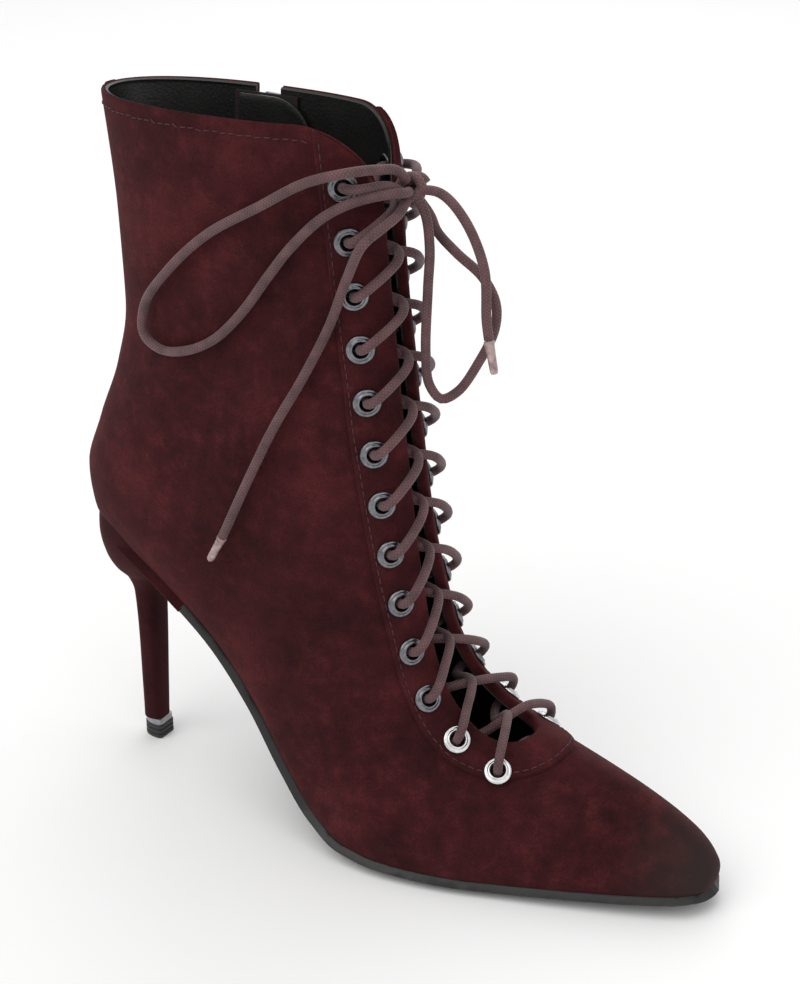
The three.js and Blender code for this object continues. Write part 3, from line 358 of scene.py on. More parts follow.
def last_grid():
    """Places and girths of every fine section."""
    station = STATIONS[:, None]
    angle = np.linspace(0, 2 * math.pi, 721)[None]
    sine, cosine = np.sin(angle), np.cos(angle)
    power = 2 / np.where(cosine > 0, upper_power(station), lower_power(station))
    reach = half_width(station) * np.where(sine > 0, inner_share(station), 1)
    across = np.sign(sine) * reach * np.abs(sine) ** power
    widest = widest_share(station)
    room = np.where(cosine > 0, 1 - widest, widest)
    up = widest + np.sign(cosine) * room * np.abs(cosine) ** power
    x = back_x(station) + (front_x(station) - back_x(station)) * up
    y = front_y(station) * up + across
    z = back_z(station) + (front_z(station) - back_z(station)) * up
    points = np.stack([x, y, z], axis=2)
    steps = np.linalg.norm(np.diff(points, axis=1), axis=2)
    length = np.concatenate([np.zeros((len(STATIONS), 1)), np.cumsum(steps, axis=1)], axis=1)
    even = np.empty((len(STATIONS), len(SHARES), 3))
    for i, row in enumerate(length):
        for axis in range(3):
            even[i, :, axis] = np.interp(SHARES * row[-1], row, points[i, :, axis])
    return even, length[:, -1]


def grid_normals(points):
    """Outward directions of the last's grid, closed round each section."""
    along = np.gradient(points, axis=0)
    ring = points[:, :-1]
    across = np.roll(ring, -1, axis=1) - np.roll(ring, 1, axis=1)
    across = np.concatenate([across, across[:, :1]], axis=1)
    normals = np.cross(across, along)
    return normals / np.maximum(np.linalg.norm(normals, axis=2, keepdims=True), 1e-9)


LAST_POINTS, GIRTHS = last_grid()
LAST_NORMALS = grid_normals(LAST_POINTS)


def from_grid(grid, station, share):
    """Value of a grid over the last between its stations and shares."""
    row = np.clip(station / LAST_STATION * (len(STATIONS) - 1), 0, len(STATIONS) - 1.001)
    column = (share % 1) * (len(SHARES) - 1)
    i, j = row.astype(int), column.astype(int)
    a, b = (row - i)[..., None], (column - j)[..., None]
    lower = grid[i, j] * (1 - b) + grid[i, j + 1] * b
    upper = grid[i + 1, j] * (1 - b) + grid[i + 1, j + 1] * b
    return lower * (1 - a) + upper * a


def girth_at(station):
    return np.interp(station, STATIONS, GIRTHS)


def outward(station, share):
    way = from_grid(LAST_NORMALS, *np.broadcast_arrays(np.asarray(station, float), np.asarray(share, float)))
    return way / np.linalg.norm(way, axis=-1, keepdims=True)


# Soft folds of the worn shape. station, share, reach along in stations and round in shares, depth
FOLDS = [
    (16.2, 0.74, 1.0, 0.09, -0.9),
    (17.6, 0.70, 0.9, 0.10, 0.7),
    (19.0, 0.78, 0.9, 0.08, -0.8),
    (20.2, 0.72, 0.8, 0.11, 0.7),
    (21.4, 0.62, 1.1, 0.06, -0.8),
    (22.3, 0.80, 0.8, 0.08, 0.5),
    (13.4, 0.80, 0.9, 0.06, -0.7),
    (12.2, 0.76, 0.9, 0.07, 0.5),
    (16.4, 0.26, 1.0, 0.09, -0.8),
    (17.9, 0.30, 0.9, 0.10, 0.6),
    (19.3, 0.24, 0.9, 0.08, -0.7),
    (21.6, 0.36, 1.1, 0.08, -0.6),
    (13.6, 0.21, 0.9, 0.06, -0.6),
    (8.6, 0.14, 0.7, 0.06, -0.4),
    (8.3, 0.86, 0.7, 0.06, -0.4),
]


def fold_height(station, share):
    """How far the soft folds lift the surface."""
    height = np.zeros(np.broadcast(station, share).shape)
    for at, round_at, along, across, depth in FOLDS:
        slant = (station - at) / along
        turn = ((share - round_at + 0.5) % 1 - 0.5) / across
        height += depth * np.exp(-(slant**2) - turn**2)
    return height


def on_last(station, share, offset=0.0):
    """Point on the last, moved out by an offset."""
    station, share, offset = np.broadcast_arrays(
        np.asarray(station, float), np.asarray(share, float), np.asarray(offset, float)
    )
    lift = offset + fold_height(station, share)
    return from_grid(LAST_POINTS, station, share) + outward(station, share) * lift[..., None]


# The front line measured down from the collar's level
TRAIL = np.linspace(LAST_STATION, 0, 601)
TRAIL_LENGTH = np.concatenate([[0], np.cumsum(np.hypot(np.diff(front_x(TRAIL)), np.diff(front_z(TRAIL))))])
COLLAR_START = TRAIL_LENGTH[np.argmax(front_z(TRAIL) <= COLLAR_LEVEL)]


def station_at(down):
    return np.interp(COLLAR_START + np.asarray(down, float), TRAIL_LENGTH, TRAIL)


def down_at(station):
    return np.interp(-np.asarray(station, float), -TRAIL, TRAIL_LENGTH) - COLLAR_START


def skin_at(down, round_by, offset=0.0):
    """Point by its distance down the front line and round from it, inner side positive."""
    station = station_at(down)
    return on_last(station, np.asarray(round_by) / girth_at(station), offset)


throat_track = track(THROAT, lambda width: width * THROAT_WIDTH)
eyelet_track = track(EYELET_LINE, lambda spread: spread * EYELET_SPREAD)
THROAT_ROUND = THROAT[-1][0] * THROAT_LENGTH
FACING_LENGTH = THROAT_LENGTH + FACING_TOE
FACING_ROUND = THROAT_ROUND - 8


def throat_half(down):
    """Half width of the throat, rounded at its foot."""
    straight = throat_track(np.clip(down, 0, THROAT_ROUND) / THROAT_LENGTH)
    share = np.clip((down - THROAT_ROUND) / (THROAT_LENGTH - THROAT_ROUND), 0, 1)
    return straight * np.sqrt(1 - share**2)


def eyelet_round(down):
    return eyelet_track(np.clip(down, 0, None) / THROAT_LENGTH)


def facing_straight(down):
    return eyelet_round(np.minimum(down, FACING_ROUND)) + FACING_MARGIN


def collar_height(x):
    """Level of the top edge in side view, with the facings' rounded front corners."""
    front = front_x(LAST_STATION - 1) + FACING_TOP
    into = np.clip(x - (front - COLLAR_CORNER), 0, COLLAR_CORNER)
    return COLLAR_LEVEL - COLLAR_CORNER + np.sqrt(COLLAR_CORNER**2 - into**2)


def find_eyelets():
    """Distances down the front line of the eyelets, at an even pitch along the facing."""
    step = 0.25
    downs = EYELET_FIRST + step * np.arange(1200)
    places = skin_at(downs, -eyelet_round(downs))
    walks = np.linalg.norm(np.diff(places, axis=0), axis=1)
    found, walked = [EYELET_FIRST], 0
    for down, walk in zip(downs[1:], walks):
        walked += walk
        if walked >= EYELET_PITCH and len(found) < EYELET_COUNT:
            found.append(down)
            walked = 0
    return np.array(found)


EYELETS = find_eyelets()
EYELET_PLACES = [(name, side, i, down) for name, side in (("lateral", -1), ("medial", 1)) for i, down in enumerate(EYELETS)]


def eyelet_middle(down, side, offset=0.0):
    return skin_at(down, side * eyelet_round(down), offset)


def deselect_all():
    for thing in bpy.context.selected_objects:
        thing.select_set(False)


def choose(piece):
    """Makes a piece the only selected and active object."""
    deselect_all()
    piece.select_set(True)
    bpy.context.view_layer.objects.active = piece
    return piece


def set_points(piece, points):
    """Places a piece's vertices, given in millimetres."""
    piece.data.vertices.foreach_set("co", (np.asarray(points) * MM).astype(np.float32).ravel())
    piece.data.update()


def get_points(piece):
    points = np.empty(len(piece.data.vertices) * 3, np.float32)
    piece.data.vertices.foreach_get("co", points)
    return points.reshape(-1, 3).astype(float) / MM


def patch(name, columns, rows, place, uv_size=(1, 1)):
    """A plane grid laid where place(u, v) says, with u and v from 0 to 1, and its UV map in millimetres."""
    deselect_all()
    bpy.ops.mesh.primitive_grid_add(x_subdivisions=columns, y_subdivisions=rows, size=1)
    piece = bpy.context.object
    piece.name = piece.data.name = name
    flat = get_points(piece) * MM + 0.5
    set_points(piece, place(flat[:, 0], flat[:, 1]))
    layer = piece.data.uv_layers.active.data
    uv = np.empty(len(layer) * 2, np.float32)
    layer.foreach_get("uv", uv)
    layer.foreach_set("uv", (uv.reshape(-1, 2) * np.array(uv_size, np.float32)).ravel())
    return piece


def edit_mesh(piece, change):
    """Runs a change on the piece's mesh and writes it back."""
    mesh = bmesh.new()
    mesh.from_mesh(piece.data)
    change(mesh)
    mesh.to_mesh(piece.data)
    mesh.free()
    piece.data.update()


def modify(piece, kind, **settings):
    """Adds a modifier with its settings and applies it."""
    choose(piece)
    added = piece.modifiers.new(kind.lower(), kind)
    for key, value in settings.items():
        setattr(added, key, value)
    bpy.ops.object.modifier_apply(modifier=added.name)


def weld(piece, distance=0.01):
    edit_mesh(piece, lambda mesh: bmesh.ops.remove_doubles(mesh, verts=mesh.verts, dist=distance * MM))


def close_holes(piece):
    """Fills the open ends of a piece and turns its faces outwards."""

    def change(mesh):
        bmesh.ops.holes_fill(mesh, edges=[e for e in mesh.edges if e.is_boundary], sides=0)
        bmesh.ops.recalc_face_normals(mesh, faces=mesh.faces)

    edit_mesh(piece, change)


def smooth(piece, angle=40):
    choose(piece)
    bpy.ops.object.shade_smooth_by_angle(angle=math.radians(angle))


def join(pieces, name):
    """Joins pieces into the first one."""
    deselect_all()
    for piece in pieces:
        piece.select_set(True)
    bpy.context.view_layer.objects.active = pieces[0]
    bpy.ops.object.join()
    pieces[0].name = pieces[0].data.name = name
    return pieces[0]


def finish_piece(piece, materials, body="boot", nodes=(), angle=40):
    """Shades, paints and hangs a finished piece on its body."""
    smooth(piece, angle)
    piece.data.materials.clear()
    for material in materials:
        piece.data.materials.append(material)
    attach(piece, body)
    if nodes:
        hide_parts(*nodes)
    return piece


def catmull(points, step):
    """Even steps along the centripetal Catmull-Rom curve through points."""
    points = np.asarray(points, float)
    padded = np.vstack([2 * points[0] - points[1], points, 2 * points[-1] - points[-2]])
    samples = []
    t = np.linspace(0, 1, 24, endpoint=False)[:, None]
    for a, b, c, d in zip(padded, padded[1:], padded[2:], padded[3:]):
        k0 = 0
        k1 = k0 + np.linalg.norm(b - a) ** 0.5
        k2 = k1 + np.linalg.norm(c - b) ** 0.5
        k3 = k2 + np.linalg.norm(d - c) ** 0.5
        k = k1 + (k2 - k1) * t
        ab = (k1 - k) / (k1 - k0) * a + (k - k0) / (k1 - k0) * b
        bc = (k2 - k) / (k2 - k1) * b + (k - k1) / (k2 - k1) * c
        cd = (k3 - k) / (k3 - k2) * c + (k - k2) / (k3 - k2) * d
        abc = (k2 - k) / (k2 - k0) * ab + (k - k0) / (k2 - k0) * bc
        bcd = (k3 - k) / (k3 - k1) * bc + (k - k1) / (k3 - k1) * cd
        samples.append((k2 - k) / (k2 - k1) * abc + (k - k1) / (k2 - k1) * bcd)
    return even_steps(np.vstack([*samples, points[-1:]]), step)


def even_steps(line, step):
    walks = np.concatenate([[0], np.cumsum(np.linalg.norm(np.diff(line, axis=0), axis=1))])
    count = max(int(round(walks[-1] / step)), 2)
    goals = np.linspace(0, walks[-1], count + 1)
    return np.stack([np.interp(goals, walks, line[:, axis]) for axis in range(3)], axis=1)


def unit(vectors):
    return vectors / np.maximum(np.linalg.norm(vectors, axis=-1, keepdims=True), 1e-9)


def frames_along(line):
    """Two directions square to a line at each of its points, carried along without twist."""
    along = unit(np.gradient(line, axis=0))
    side = np.empty_like(line)
    start = np.cross(along[0], (0, 0, 1))
    if np.linalg.norm(start) < 0.1:
        start = np.cross(along[0], (1, 0, 0))
    side[0] = unit(start)
    for i in range(1, len(line)):
        side[i] = unit(side[i - 1] - along[i] * (side[i - 1] @ along[i]))
    return side, np.cross(along, side)


def tube(name, line, radius, sides=12, ends=True):
    """Round tube along a line, its UV map in millimetres round and along."""
    line = np.asarray(line, float)
    radius = np.broadcast_to(radius, len(line))
    side, rise = frames_along(line)
    length = np.linalg.norm(np.diff(line, axis=0), axis=1).sum()

    def place(u, v):
        i = np.rint(v * (len(line) - 1)).astype(int)
        spoke = side[i] * np.cos(2 * math.pi * u)[:, None] + rise[i] * np.sin(2 * math.pi * u)[:, None]
        return line[i] + spoke * radius[i][:, None]

    piece = patch(name, sides, len(line) - 1, place, (2 * math.pi * radius.max(), length))
    weld(piece, 0.001)
    if ends:
        close_holes(piece)
    return piece


def cross_surface(station, share, offset):
    """Point under the foot by its place across the section, from the outer edge at -1 to the inner at 1."""
    widest = widest_share(station)
    power = lower_power(station)
    reach = half_width(station) * np.where(share > 0, inner_share(station), 1)
    up = widest * (1 - (1 - np.abs(share) ** power) ** (1 / power))
    x = back_x(station) + (front_x(station) - back_x(station)) * up
    z = back_z(station) + (front_z(station) - back_z(station)) * up
    return np.stack([x, front_y(station) * up + share * reach, z], axis=-1) + offset


def inner_place(x, z, lowest=13.5):
    """Station and share of points on the inner side given by their x and z."""

    def share_for(station):
        ahead, behind = np.zeros_like(x), np.full_like(x, 0.5)
        for _ in range(24):
            middle = (ahead + behind) / 2
            forward = from_grid(LAST_POINTS, station, middle)[:, 0] > x
            ahead, behind = np.where(forward, middle, ahead), np.where(forward, behind, middle)
        return ahead

    low, high = np.full_like(x, lowest), np.full_like(x, LAST_STATION - 0.01)
    for _ in range(24):
        middle = (low + high) / 2
        under = from_grid(LAST_POINTS, middle, share_for(middle))[:, 2] < z
        low, high = np.where(under, middle, low), np.where(under, high, middle)
    return low, share_for(low)


ZIP_SLANT = (ZIP_TOP_X - ZIP_FOOT_X) / (COLLAR_LEVEL - ZIP_FOOT_Z)


def zip_x(z):
    return ZIP_FOOT_X + ZIP_SLANT * (z - ZIP_FOOT_Z)


def on_zip(across, z, offset):
    """Point by its distance across from the zip's line towards the toe, its height and its offset."""
    return on_last(*inner_place(zip_x(z) + across, z), offset)


def linear(code):
    """Linear RGBA from an sRGB hex code."""
    parts = [int(code[i : i + 2], 16) / 255 for i in (1, 3, 5)]
    return (*[c / 12.92 if c <= 0.04045 else ((c + 0.055) / 1.055) ** 2.4 for c in parts], 1)


def add_node(tree, kind, settings=None, **links):
    """Adds a node with its settings and links. A setting or link is named by attribute or socket."""
    made = tree.nodes.new(kind)
    for key, value in (settings or {}).items():
        if isinstance(key, int) or key in made.inputs:
            made.inputs[key].default_value = value
        else:
            setattr(made, key, value)
    for key, source in links.items():
        socket = made.inputs[int(key[1:]) if key[0] == "i" and key[1:].isdigit() else key.replace("_", " ")]
        tree.links.new(source, socket)
    return made


def new_material(name, **settings):
    """A named material, its node tree and its shader with settings on its own sockets."""
    material = bpy.data.materials.new(name)
    material.use_nodes = True
    tree = material.node_tree
    shader = next(n for n in tree.nodes if n.type == "BSDF_PRINCIPLED")
    for key, value in settings.items():
        shader.inputs[key.replace("_", " ")].default_value = value
    return material, tree, shader


def ramp(tree, source, stops):
    """Colour ramp through hex colours at their places."""
    made = add_node(tree, "ShaderNodeValToRGB", i0=source)
    elements = made.color_ramp.elements
    while len(elements) < len(stops):
        elements.new(0.5)
    for element, (place, code) in zip(elements, stops):
        element.position = place
        element.color = linear(code) if isinstance(code, str) else (*code, 1)
    return made.outputs["Color"]


def spots(tree, source, size_mm, detail=3, roughness=0.55):
    """Noise with features of a size in millimetres."""
    settings = {"Scale": 1 / (size_mm * MM), "Detail": detail, "Roughness": roughness}
    return add_node(tree, "ShaderNodeTexNoise", settings, Vector=source).outputs["Fac"]


def blend_colours(tree, factor, first, second, kind="MIX"):
    made = add_node(tree, "ShaderNodeMix", {"data_type": "RGBA", "blend_type": kind}, i0=factor, i6=first)
    if isinstance(second, str):
        made.inputs[7].default_value = linear(second)
    else:
        tree.links.new(second, made.inputs[7])
    return made.outputs[2]


def near(tree, source, middle_mm, inner_mm, outer_mm):
    """Factor that is 1 within a distance of a point and 0 beyond another."""
    middle = [c * MM for c in middle_mm]
    away = add_node(tree, "ShaderNodeVectorMath", {"operation": "DISTANCE", 1: middle}, i0=source)
    settings = {"interpolation_type": "SMOOTHSTEP", 1: inner_mm * MM, 2: outer_mm * MM, 3: 1.0, 4: 0.0}
    return add_node(tree, "ShaderNodeMapRange", settings, i0=away.outputs["Value"]).outputs[0]


def bump(tree, shader, height, depth_mm, strength=1.0):
    settings = {"Distance": depth_mm * MM, "Strength": strength}
    made = add_node(tree, "ShaderNodeBump", settings, Height=height)
    tree.links.new(made.outputs["Normal"], shader.inputs["Normal"])


def suede_material(name, tones):
    """Calf suede: a brushed, velvety nap that lies in lighter and darker patches."""
    material, tree, shader = new_material(
        name, Roughness=0.92, Sheen_Weight=0.28, Sheen_Roughness=0.42, Sheen_Tint=linear("#8a4a4c"), IOR=1.45
    )
    shader.inputs["Specular IOR Level"].default_value = 0.18
    place = add_node(tree, "ShaderNodeTexCoord").outputs["Object"]
    wide = spots(tree, place, 34, 4, 0.6)
    strokes = spots(tree, place, 7, 5, 0.68)
    # Nap grain is drawn at 0.5 mm, coarser than the real fibre, so that it shows
    grain = spots(tree, place, 0.5, 2, 0.6)
    patches = ramp(tree, wide, [(0.30, tones[0]), (0.50, tones[1]), (0.72, tones[2])])
    brushed = ramp(tree, strokes, [(0.28, tones[0]), (0.52, tones[1]), (0.78, tones[2])])
    colour = blend_colours(tree, spots(tree, place, 60, 1), patches, brushed)
    fleck = ramp(tree, grain, [(0.3, "#8c8c8c"), (0.7, "#ffffff")])
    colour = multiply(tree, colour, fleck, 0.6)
    # Grey-brown at the toe tip is rubbed wear with a painted sheen over it; at the back of the heel it is rubbed wear
    toe = near(tree, place, (TOE_REACH + 1, 0, 9), 6, 40)
    heel = near(tree, place, (-17, 0, 96), 6, 24)
    for mask, code, most in ((toe, "#2b2624", 0.85), (heel, "#30211f", 0.5)):
        wear_and_sheen = add_node(tree, "ShaderNodeMath", {"operation": "MULTIPLY", 1: most}, i0=mask).outputs[0]
        colour = blend_colours(tree, wear_and_sheen, colour, code)
    tree.links.new(colour, shader.inputs["Base Color"])
    nap = add_node(tree, "ShaderNodeMath", {"operation": "MULTIPLY_ADD", 1: 0.5}, i0=strokes, i2=grain).outputs[0]
    bump(tree, shader, nap, 0.25, 0.7)
    return material


def multiply(tree, colour, other, share):
    made = add_node(
        tree, "ShaderNodeMix", {"data_type": "RGBA", "blend_type": "MULTIPLY", 0: share}, i6=colour, i7=other
    )
    return made.outputs[2]


def leather_material(name, dark, light, pore_mm, roughness):
    """Smooth dyed leather with a fine closed grain."""
    material, tree, shader = new_material(name, Roughness=roughness, IOR=1.5)
    place = add_node(tree, "ShaderNodeTexCoord").outputs["Object"]
    cells = add_node(tree, "ShaderNodeTexVoronoi", {"Scale": 1 / (pore_mm * MM)}, Vector=place).outputs["Distance"]
    cloud = spots(tree, place, 18, 3)
    colour = ramp(tree, cloud, [(0.3, dark), (0.75, light)])
    tree.links.new(colour, shader.inputs["Base Color"])
    bump(tree, shader, cells, 0.12, 0.5)
    return material


def braid_material(name, dark, light):
    """Waxed round cord: two sets of fine yarns wound across each other."""
    material, tree, shader = new_material(name, Roughness=0.72, Sheen_Weight=0.15, IOR=1.5)
    uv = add_node(tree, "ShaderNodeTexCoord").outputs["UV"]
    # One yarn every 0.9 mm, at 35 degrees to the cord
    waves = []
    for turn in (35, -35):
        settings = {"Rotation": (0, 0, math.radians(turn))}
        turned = add_node(tree, "ShaderNodeMapping", settings, Vector=uv).outputs[0]
        wave = add_node(tree, "ShaderNodeTexWave", {"Scale": 0.35, "Distortion": 0.4, "bands_direction": "Y"}, Vector=turned)
        waves.append(wave.outputs["Fac"])
    yarn = add_node(tree, "ShaderNodeMath", {"operation": "MULTIPLY"}, i0=waves[0], i1=waves[1]).outputs[0]
    place = add_node(tree, "ShaderNodeTexCoord").outputs["Object"]
    colour = ramp(tree, spots(tree, place, 5, 3), [(0.3, dark), (0.7, light)])
    # Darker in the gaps between the yarns: painted shade in the grooves, on top of the bump
    shade = ramp(tree, yarn, [(0.0, "#b4b4b4"), (0.6, "#ffffff")])
    tree.links.new(multiply(tree, colour, shade, 0.8), shader.inputs["Base Color"])
    bump(tree, shader, yarn, 0.18, 0.7)
    return material


def metal_material(name, code, roughness):
    """Plated metal with a faint stamped unevenness."""
    material, tree, shader = new_material(name, Metallic=1.0)
    place = add_node(tree, "ShaderNodeTexCoord").outputs["Object"]
    haze = spots(tree, place, 1.5, 3)
    colour = ramp(tree, haze, [(0.2, code[0]), (0.8, code[1])])
    tree.links.new(colour, shader.inputs["Base Color"])
    settings = {3: roughness * 0.8, 4: roughness * 1.3}
    rough = add_node(tree, "ShaderNodeMapRange", settings, i0=haze).outputs[0]
    tree.links.new(rough, shader.inputs["Roughness"])
    return material


def clear_plastic(name):
    """Clear acetate sleeve heat-shrunk on the cord's end."""
    material, tree, shader = new_material(name, Roughness=0.14, IOR=1.47, Coat_Weight=0.6, Coat_Roughness=0.08)
    place = add_node(tree, "ShaderNodeTexCoord").outputs["Object"]
    colour = ramp(tree, spots(tree, place, 2.5, 3), [(0.3, "#6d4a4b"), (0.7, "#b09a98")])
    tree.links.new(colour, shader.inputs["Base Color"])
    return material


def woven_tape(name):
    """Woven zip tape: a plain weave with a thread every 0.6 mm."""
    material, tree, shader = new_material(name, Roughness=0.85)
    uv = add_node(tree, "ShaderNodeTexCoord").outputs["UV"]
    waves = [
        add_node(tree, "ShaderNodeTexWave", {"Scale": 0.52, "bands_direction": way}, Vector=uv).outputs["Fac"]
        for way in "XY"
    ]
    weave = add_node(tree, "ShaderNodeMath", {"operation": "MULTIPLY"}, i0=waves[0], i1=waves[1]).outputs[0]
    # Darker in the gaps between the threads: painted shade in the weave, on top of the bump
    tree.links.new(ramp(tree, weave, [(0.0, "#120608"), (0.8, "#2a1114")]), shader.inputs["Base Color"])
    bump(tree, shader, weave, 0.15, 0.6)
    return material


def floor_material():
    """Pale matt studio floor."""
    material, tree, shader = new_material("studio_floor", Roughness=0.9)
    place = add_node(tree, "ShaderNodeTexCoord").outputs["Object"]
    tree.links.new(ramp(tree, spots(tree, place, 400, 2), [(0.2, "#f4f4f4"), (0.8, "#f7f7f7")]), shader.inputs["Base Color"])
    return material


MATERIALS = {}


def make_materials(sizes):
    MATERIALS.update(
        suede=suede_material("oxblood_suede", (sizes.suede_dark, sizes.suede_middle, sizes.suede_light)),
        heel_suede=suede_material("oxblood_suede_on_the_heel", ("#240a0e", "#3a1418", "#4c1c20")),
        lining=leather_material("black_lining_leather", "#0b0b0b", "#1a1918", 0.9, 0.42),
        sole=leather_material("black_sole_leather", "#0a0909", "#141211", 1.4, 0.45),
        top_piece=leather_material("black_top_piece_rubber", "#1b1c1c", "#2a2b2b", 0.6, 0.6),
        cord=braid_material("waxed_round_cord", "#503437", "#70494c"),
        thread=leather_material("waxed_sewing_thread", "#2c1013", "#44191d", 0.4, 0.6),
        gunmetal=metal_material("gunmetal_plate", ("#55565a", "#8b8c91"), 0.27),
        nickel=metal_material("bright_nickel_plate", ("#b8b8ba", "#e4e4e4"), 0.18),
        band=metal_material("satin_grey_metal", ("#85858a", "#a8a8ac"), 0.4),
        aglet=clear_plastic("clear_acetate"),
        tape=woven_tape("woven_zip_tape"),
    )


SHELL_TOP = 20  # station where the rows begin to close up on the collar


def opening_half(down, grow):
    """Half width of the throat, cut wider all round."""
    straight = throat_track(np.clip(down, 0, THROAT_ROUND) / THROAT_LENGTH) + grow
    share = np.clip((down - THROAT_ROUND) / (THROAT_LENGTH + grow - THROAT_ROUND), 0, 1)
    return straight * np.sqrt(1 - share**2)


def shell_share(station, across, grow):
    start = opening_half(down_at(station), grow) / girth_at(station)
    return start + (1 - 2 * start) * across


def collar_stations(across, grow, drop):
    """Station where each column meets the collar, a drop below it."""
    tries = np.linspace(SHELL_TOP, LAST_STATION, 260)[:, None]
    share = shell_share(tries, across[None], grow)
    places = on_last(tries, share)
    over = places[..., 2] - collar_height(places[..., 0]) + drop
    i = np.argmax(over >= 0, axis=0)
    j = np.arange(len(across))
    a, b = over[i - 1, j], over[i, j]
    return tries[i - 1, 0] + (tries[i, 0] - tries[i - 1, 0]) * (-a / (b - a))


def make_shell(name, outer, thickness, grow, columns, spacing, drop):
    """Skin of the last from the toe to the collar with the throat and the zip's slot open."""
    foot = float(station_at(THROAT_LENGTH + grow))
    lower = np.unique(np.concatenate([np.linspace(0, SHELL_TOP, int(SHELL_TOP / spacing) + 1), np.linspace(foot - 0.35, foot + 0.02, 14)]))
    rise = np.concatenate([np.linspace(0, 1, 32)[1:-1], [0.9875, 0.996, 1]])
    rows = len(lower) + len(rise) - 1
    ends = collar_stations(np.linspace(0, 1, columns + 1), grow, drop)

    def place(u, v):
        row = np.rint(v * rows).astype(int)
        column = np.rint(u * columns).astype(int)
        top = row >= len(lower)
        climb = rise[np.clip(row - len(lower), 0, len(rise) - 1)]
        station = np.where(top, SHELL_TOP + (ends[column] - SHELL_TOP) * climb, lower[np.clip(row, 0, len(lower) - 1)])
        turned = np.select([row == rows, row == rows - 1], [-0.4, -0.08], 0.0)
        return on_last(station, shell_share(station, u, grow), outer + turned)

    shell = patch(name, columns, rows, place)
    weld(shell, 0.01)
    cut_zip_slot(shell)

    def close_toe(mesh):
        tip = [e for e in mesh.edges if e.is_boundary and all(v.co.x > (TOE_REACH - 3) * MM for v in e.verts)]
        bmesh.ops.holes_fill(mesh, edges=tip, sides=0)

    edit_mesh(shell, close_toe)
    modify(shell, "SOLIDIFY", thickness=thickness * MM, offset=-1, use_even_offset=False)
    punch_eyelets(shell, 3.0)
    return shell


def cut_zip_slot(shell, grow=0.0):
    """Cuts the slot above its foot between two slanting lines in side view."""
    half = ZIP_SLOT_WIDTH / 2 + grow

    def cut(mesh):
        planes = [((zip_x(0) - half, 0, 0), (1, 0, -ZIP_SLANT)), ((zip_x(0) + half, 0, 0), (1, 0, -ZIP_SLANT)), ((0, 0, ZIP_FOOT_Z), (0, 0, 1))]
        for middle, normal in planes:
            near_by = [f for f in mesh.faces if beside_zip(f.calc_center_median() / MM, 12)]
            verts = {v for f in near_by for v in f.verts}
            edges = {e for f in near_by for e in f.edges}
            bmesh.ops.bisect_plane(
                mesh, geom=[*near_by, *edges, *verts], dist=1e-7, plane_co=Vector(middle) * MM, plane_no=Vector(normal)
            )
        inside = [f for f in mesh.faces if beside_zip(f.calc_center_median() / MM, half) and f.calc_center_median().z > ZIP_FOOT_Z * MM]
        bmesh.ops.delete(mesh, geom=inside, context="FACES")

    edit_mesh(shell, cut)


def beside_zip(point, reach):
    return point.y > 8 and point.z > ZIP_FOOT_Z - 8 and abs(point.x - zip_x(point.z)) < reach


def punch_eyelets(piece, radius):
    """Opens a piece at each eyelet, well inside its flange."""
    middles = [eyelet_middle(down, side) for _, side, _, down in EYELET_PLACES]
    ways = [outward(station_at(down), side * eyelet_round(down) / girth_at(station_at(down))) for _, side, _, down in EYELET_PLACES]

    def punch(mesh):
        faces = list(mesh.faces)
        centres = np.array([f.calc_center_median() for f in faces]) / MM
        gone = np.zeros(len(faces), bool)
        for middle, way in zip(middles, ways):
            away = centres - middle
            deep = away @ way
            gone |= (np.abs(deep) < 5) & (np.linalg.norm(away - deep[:, None] * way, axis=1) < radius)
        bmesh.ops.delete(mesh, geom=[f for f, out in zip(faces, gone) if out], context="FACES")

    edit_mesh(piece, punch)


def make_upper(sizes):
    shell = make_shell("suede_upper", 0, SUEDE_WALL, 0.7, 150, 0.16, 0)
    finish_piece(shell, [MATERIALS["suede"]], nodes=["upper"])
    lining = make_shell("leather_lining", -LINING_INSET, WALL - LINING_INSET, 0.2, 100, 0.28, 0.3)
    finish_piece(lining, [MATERIALS["lining"]])


# Facing's cross-section from the throat's edge. distance from that edge, and offset
FACING_INNER_EDGE = [(0, -1.5), (0, 0.7), (0.3, 1.25), (0.9, 1.5)]
# and distance from the outer edge, with the stitch row's groove
FACING_OUTER_EDGE = [(2.3, 1.5), (1.7, 1.36), (1.1, 1.47), (0.7, 1.42), (0.25, 1.15), (0, 0.5), (0, -0.4)]
FACING_LANES = 11
LEG_ROWS = 150
FOOT_ROWS = 56
STITCH_INSET = 1.7


def facing_point(way, share, plus, offset):
    """Point on the U of the facing. way runs from -1 at the outer leg's top over 0 at the toe to 1, and
    the place across is a share of the facing's width from the throat's edge plus a distance."""
    side = np.where(way < 0, -1, 1)
    leg = np.clip((np.abs(way) - FOOT_PART) / (1 - FOOT_PART), 0, None)
    angle = np.clip(1 - np.abs(way) / FOOT_PART, 0, 1) * math.pi / 2
    straight = 1 - leg
    down_in = THROAT_ROUND * straight + (THROAT_LENGTH - THROAT_ROUND) * np.sin(angle)
    down_out = FACING_ROUND * straight + (FACING_LENGTH - FACING_ROUND) * np.sin(angle)
    half_in = throat_track(np.clip(straight * THROAT_ROUND, 0, THROAT_ROUND) / THROAT_LENGTH) * np.cos(angle)
    half_out = facing_straight(np.maximum(straight * FACING_ROUND, 0)) * np.cos(angle)
    width = np.where(leg > 0, half_out - half_in, np.hypot(down_out - down_in, half_out - half_in))
    across = share + plus / width
    down = down_in + (down_out - down_in) * across
    return skin_at(down, side * (half_in + (half_out - half_in) * across), offset)


FOOT_PART = 0.16  # share of each half of the U that is its rounded toe


